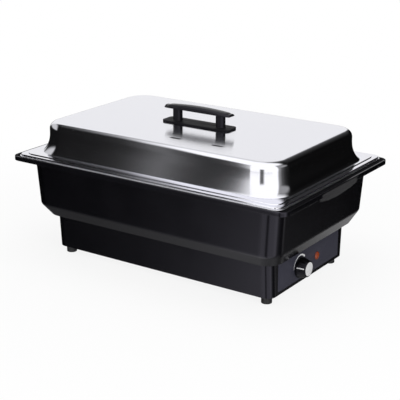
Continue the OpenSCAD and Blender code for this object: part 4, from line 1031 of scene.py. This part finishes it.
def tentLevel(s, x, y, z):
    turn = math.degrees(math.atan2(x, -y))
    roll = math.degrees(math.atan2(z, -y))
    right, rear = ease(*s.rightFrom, x), ease(*s.rearFrom, y)
    front = levelAt(s.frontStops, x - s.frontLean * ease(*s.leanDown, -z))
    front = min(front, levelAt(s.turnStops, turn))
    slit = s.slitDepth * ease(*s.slitDown, -z) - s.slitBack * ease(*s.slitEnd, -z)
    front *= 1 - slit * (1 - ease(*s.slitRight, x))
    front *= 1 - levelAt(s.gapStops, turn) * (1 - ease(*s.gapUp, z))
    start, width = levelAt(s.rollStart, x), levelAt(s.rollWidth, x)
    overhead = levelAt(s.overStops, x) * ease(start, start + width, roll)
    overhead *= 1 - s.overDim * ease(*s.overDimRoll, roll)
    overhead *= (1 - right * rear) * (1 - ease(*s.overEnd, x - s.overSlope * z))
    behind = ease(*s.behindBack, y) * ease(*s.behindUp, z)
    behind *= (1 - ease(*s.behindTop, z)) * (1 - right)
    sheen = levelAt(s.sheenStops, x) * right * rear * ease(*s.sheenUp, z)
    strip = levelAt(s.stripStops, turn) * ease(*s.stripDown, -z) * (1 - ease(*s.stripEnd, -z))
    sides = 0
    for (level, sideways, up), way in ((s.leftCloth, -x), (s.rightCloth, x)):
        sides += level * ease(*sideways, way) * ease(*up, z)
    back = ease(*s.tableBack, y)
    table = s.tableLevel + s.tableRight * ease(*s.tableRightFrom, x)
    table *= ease(*s.tableDown, -z) * (1 - back)
    tableDim = 1 - s.tableDim * ease(*s.tableDimFrom, x)
    table += levelAt(s.tableStops, z) * ease(*s.tableTop, -z) * tableDim * back
    return max(s.dark, front, overhead, behind, strip, sheen, sides, table)


def makeTent(s):
    bm = bmesh.new()
    cloth = bm.verts.layers.float.new("clothLevel")
    low, high, step = s.fineRows
    sideways = [math.sin(math.pi * (i / s.rows - 0.5)) for i in range(s.rows + 1)]
    sideways = [x for x in sideways if not low < x < high]
    sideways += [low + step * i for i in range(round((high - low) / step) + 1)]
    grid = []
    for x in sorted(sideways):
        reach = math.sqrt(1 - x * x)
        row = []
        for j in range(s.columns):
            roll = 2 * math.pi * j / s.columns
            way = Vector((x, -reach * math.cos(roll), reach * math.sin(roll)))
            vert = bm.verts.new(way * s.radius)
            vert[cloth] = tentLevel(s, *way)
            row.append(vert)
        grid.append(row)
    for one, other in zip(grid, grid[1:]):
        for j in range(s.columns):
            k = (j + 1) % s.columns
            bm.faces.new((one[j], other[j], other[k], one[k]))
    return stagePiece(bm, "tent", clothTent)


clothTent, tree = startFinish("cloth_black_and_white_tent")
level = addNode(tree, "ShaderNodeAttribute", {"attribute_name": "clothLevel"})
glow = addNode(tree, "ShaderNodeEmission", links={"Strength": level.outputs["Fac"]})
closeFinish(clothTent, glow)
clothTent.cycles.emission_sampling = "NONE"
tent = makeTent(tentSizes)
tent.visible_camera = tent.visible_diffuse = tent.visible_shadow = tent.visible_transmission = False

# plain white sky: full white where it is seen or mirrored, lower as light on the dish
world = bpy.data.worlds.new("studio")
bpy.context.scene.world = world
world.use_nodes = True
tree = world.node_tree
tree.nodes.clear()
ray = addNode(tree, "ShaderNodeLightPath").outputs
direct = ray["Is Camera Ray"]
for kind in ("Is Glossy Ray", "Is Transmission Ray"):
    direct = addNode(tree, "ShaderNodeMath", {"operation": "MAXIMUM"}, links={0: direct, 1: ray[kind]})
sky = addNode(tree, "ShaderNodeBackground", values={"Color": (1, 1, 1, 1)},
              links={"Strength": levels(tree, stageSizes.skyLevel, 1.0, direct)})
addNode(tree, "ShaderNodeOutputWorld", links={"Surface": sky})

softBoxes = dict(
    overheadBox=Spec(power=24.0, size=2.2, spot=(0.2, -0.3, 2.3), aim=(0, 0, 0.1)),
    sideBox=Spec(power=16.0, size=1.2, spot=(2.3, -0.9, 0.9), aim=(0.24, 0, 0.05)))


def facing(spot, back):
    # place of a lamp or camera at spot, with its back turned along back
    return Matrix.Translation(spot) @ back.to_track_quat("Z", "Y").to_matrix().to_4x4()


for name, s in softBoxes.items():
    data = bpy.data.lights.new(name, "AREA")
    data.energy, data.size = s.power, s.size
    lamp = putInScene(name, data)
    lamp.matrix_world = facing(s.spot, Vector(s.spot) - Vector(s.aim))
    lamp.visible_glossy = False

cameraSizes = Spec(azimuth=34.38, elevation=18.45, distance=2.049, target=(0.0045, -0.0032, 0.1138),
                   lens=99.36, sensor=36)
az, el = math.radians(cameraSizes.azimuth), math.radians(cameraSizes.elevation)
back = Vector((math.sin(az) * math.cos(el), -math.cos(az) * math.cos(el), math.sin(el)))
cameraData = bpy.data.cameras.new("photoCamera")
cameraData.lens, cameraData.sensor_width = cameraSizes.lens, cameraSizes.sensor
camera = putInScene("photoCamera", cameraData)
camera.matrix_world = facing(Vector(cameraSizes.target) + back * cameraSizes.distance, back)
bpy.context.scene.camera = camera
bpy.context.scene.view_settings.view_transform = "Standard"
print("stage set")
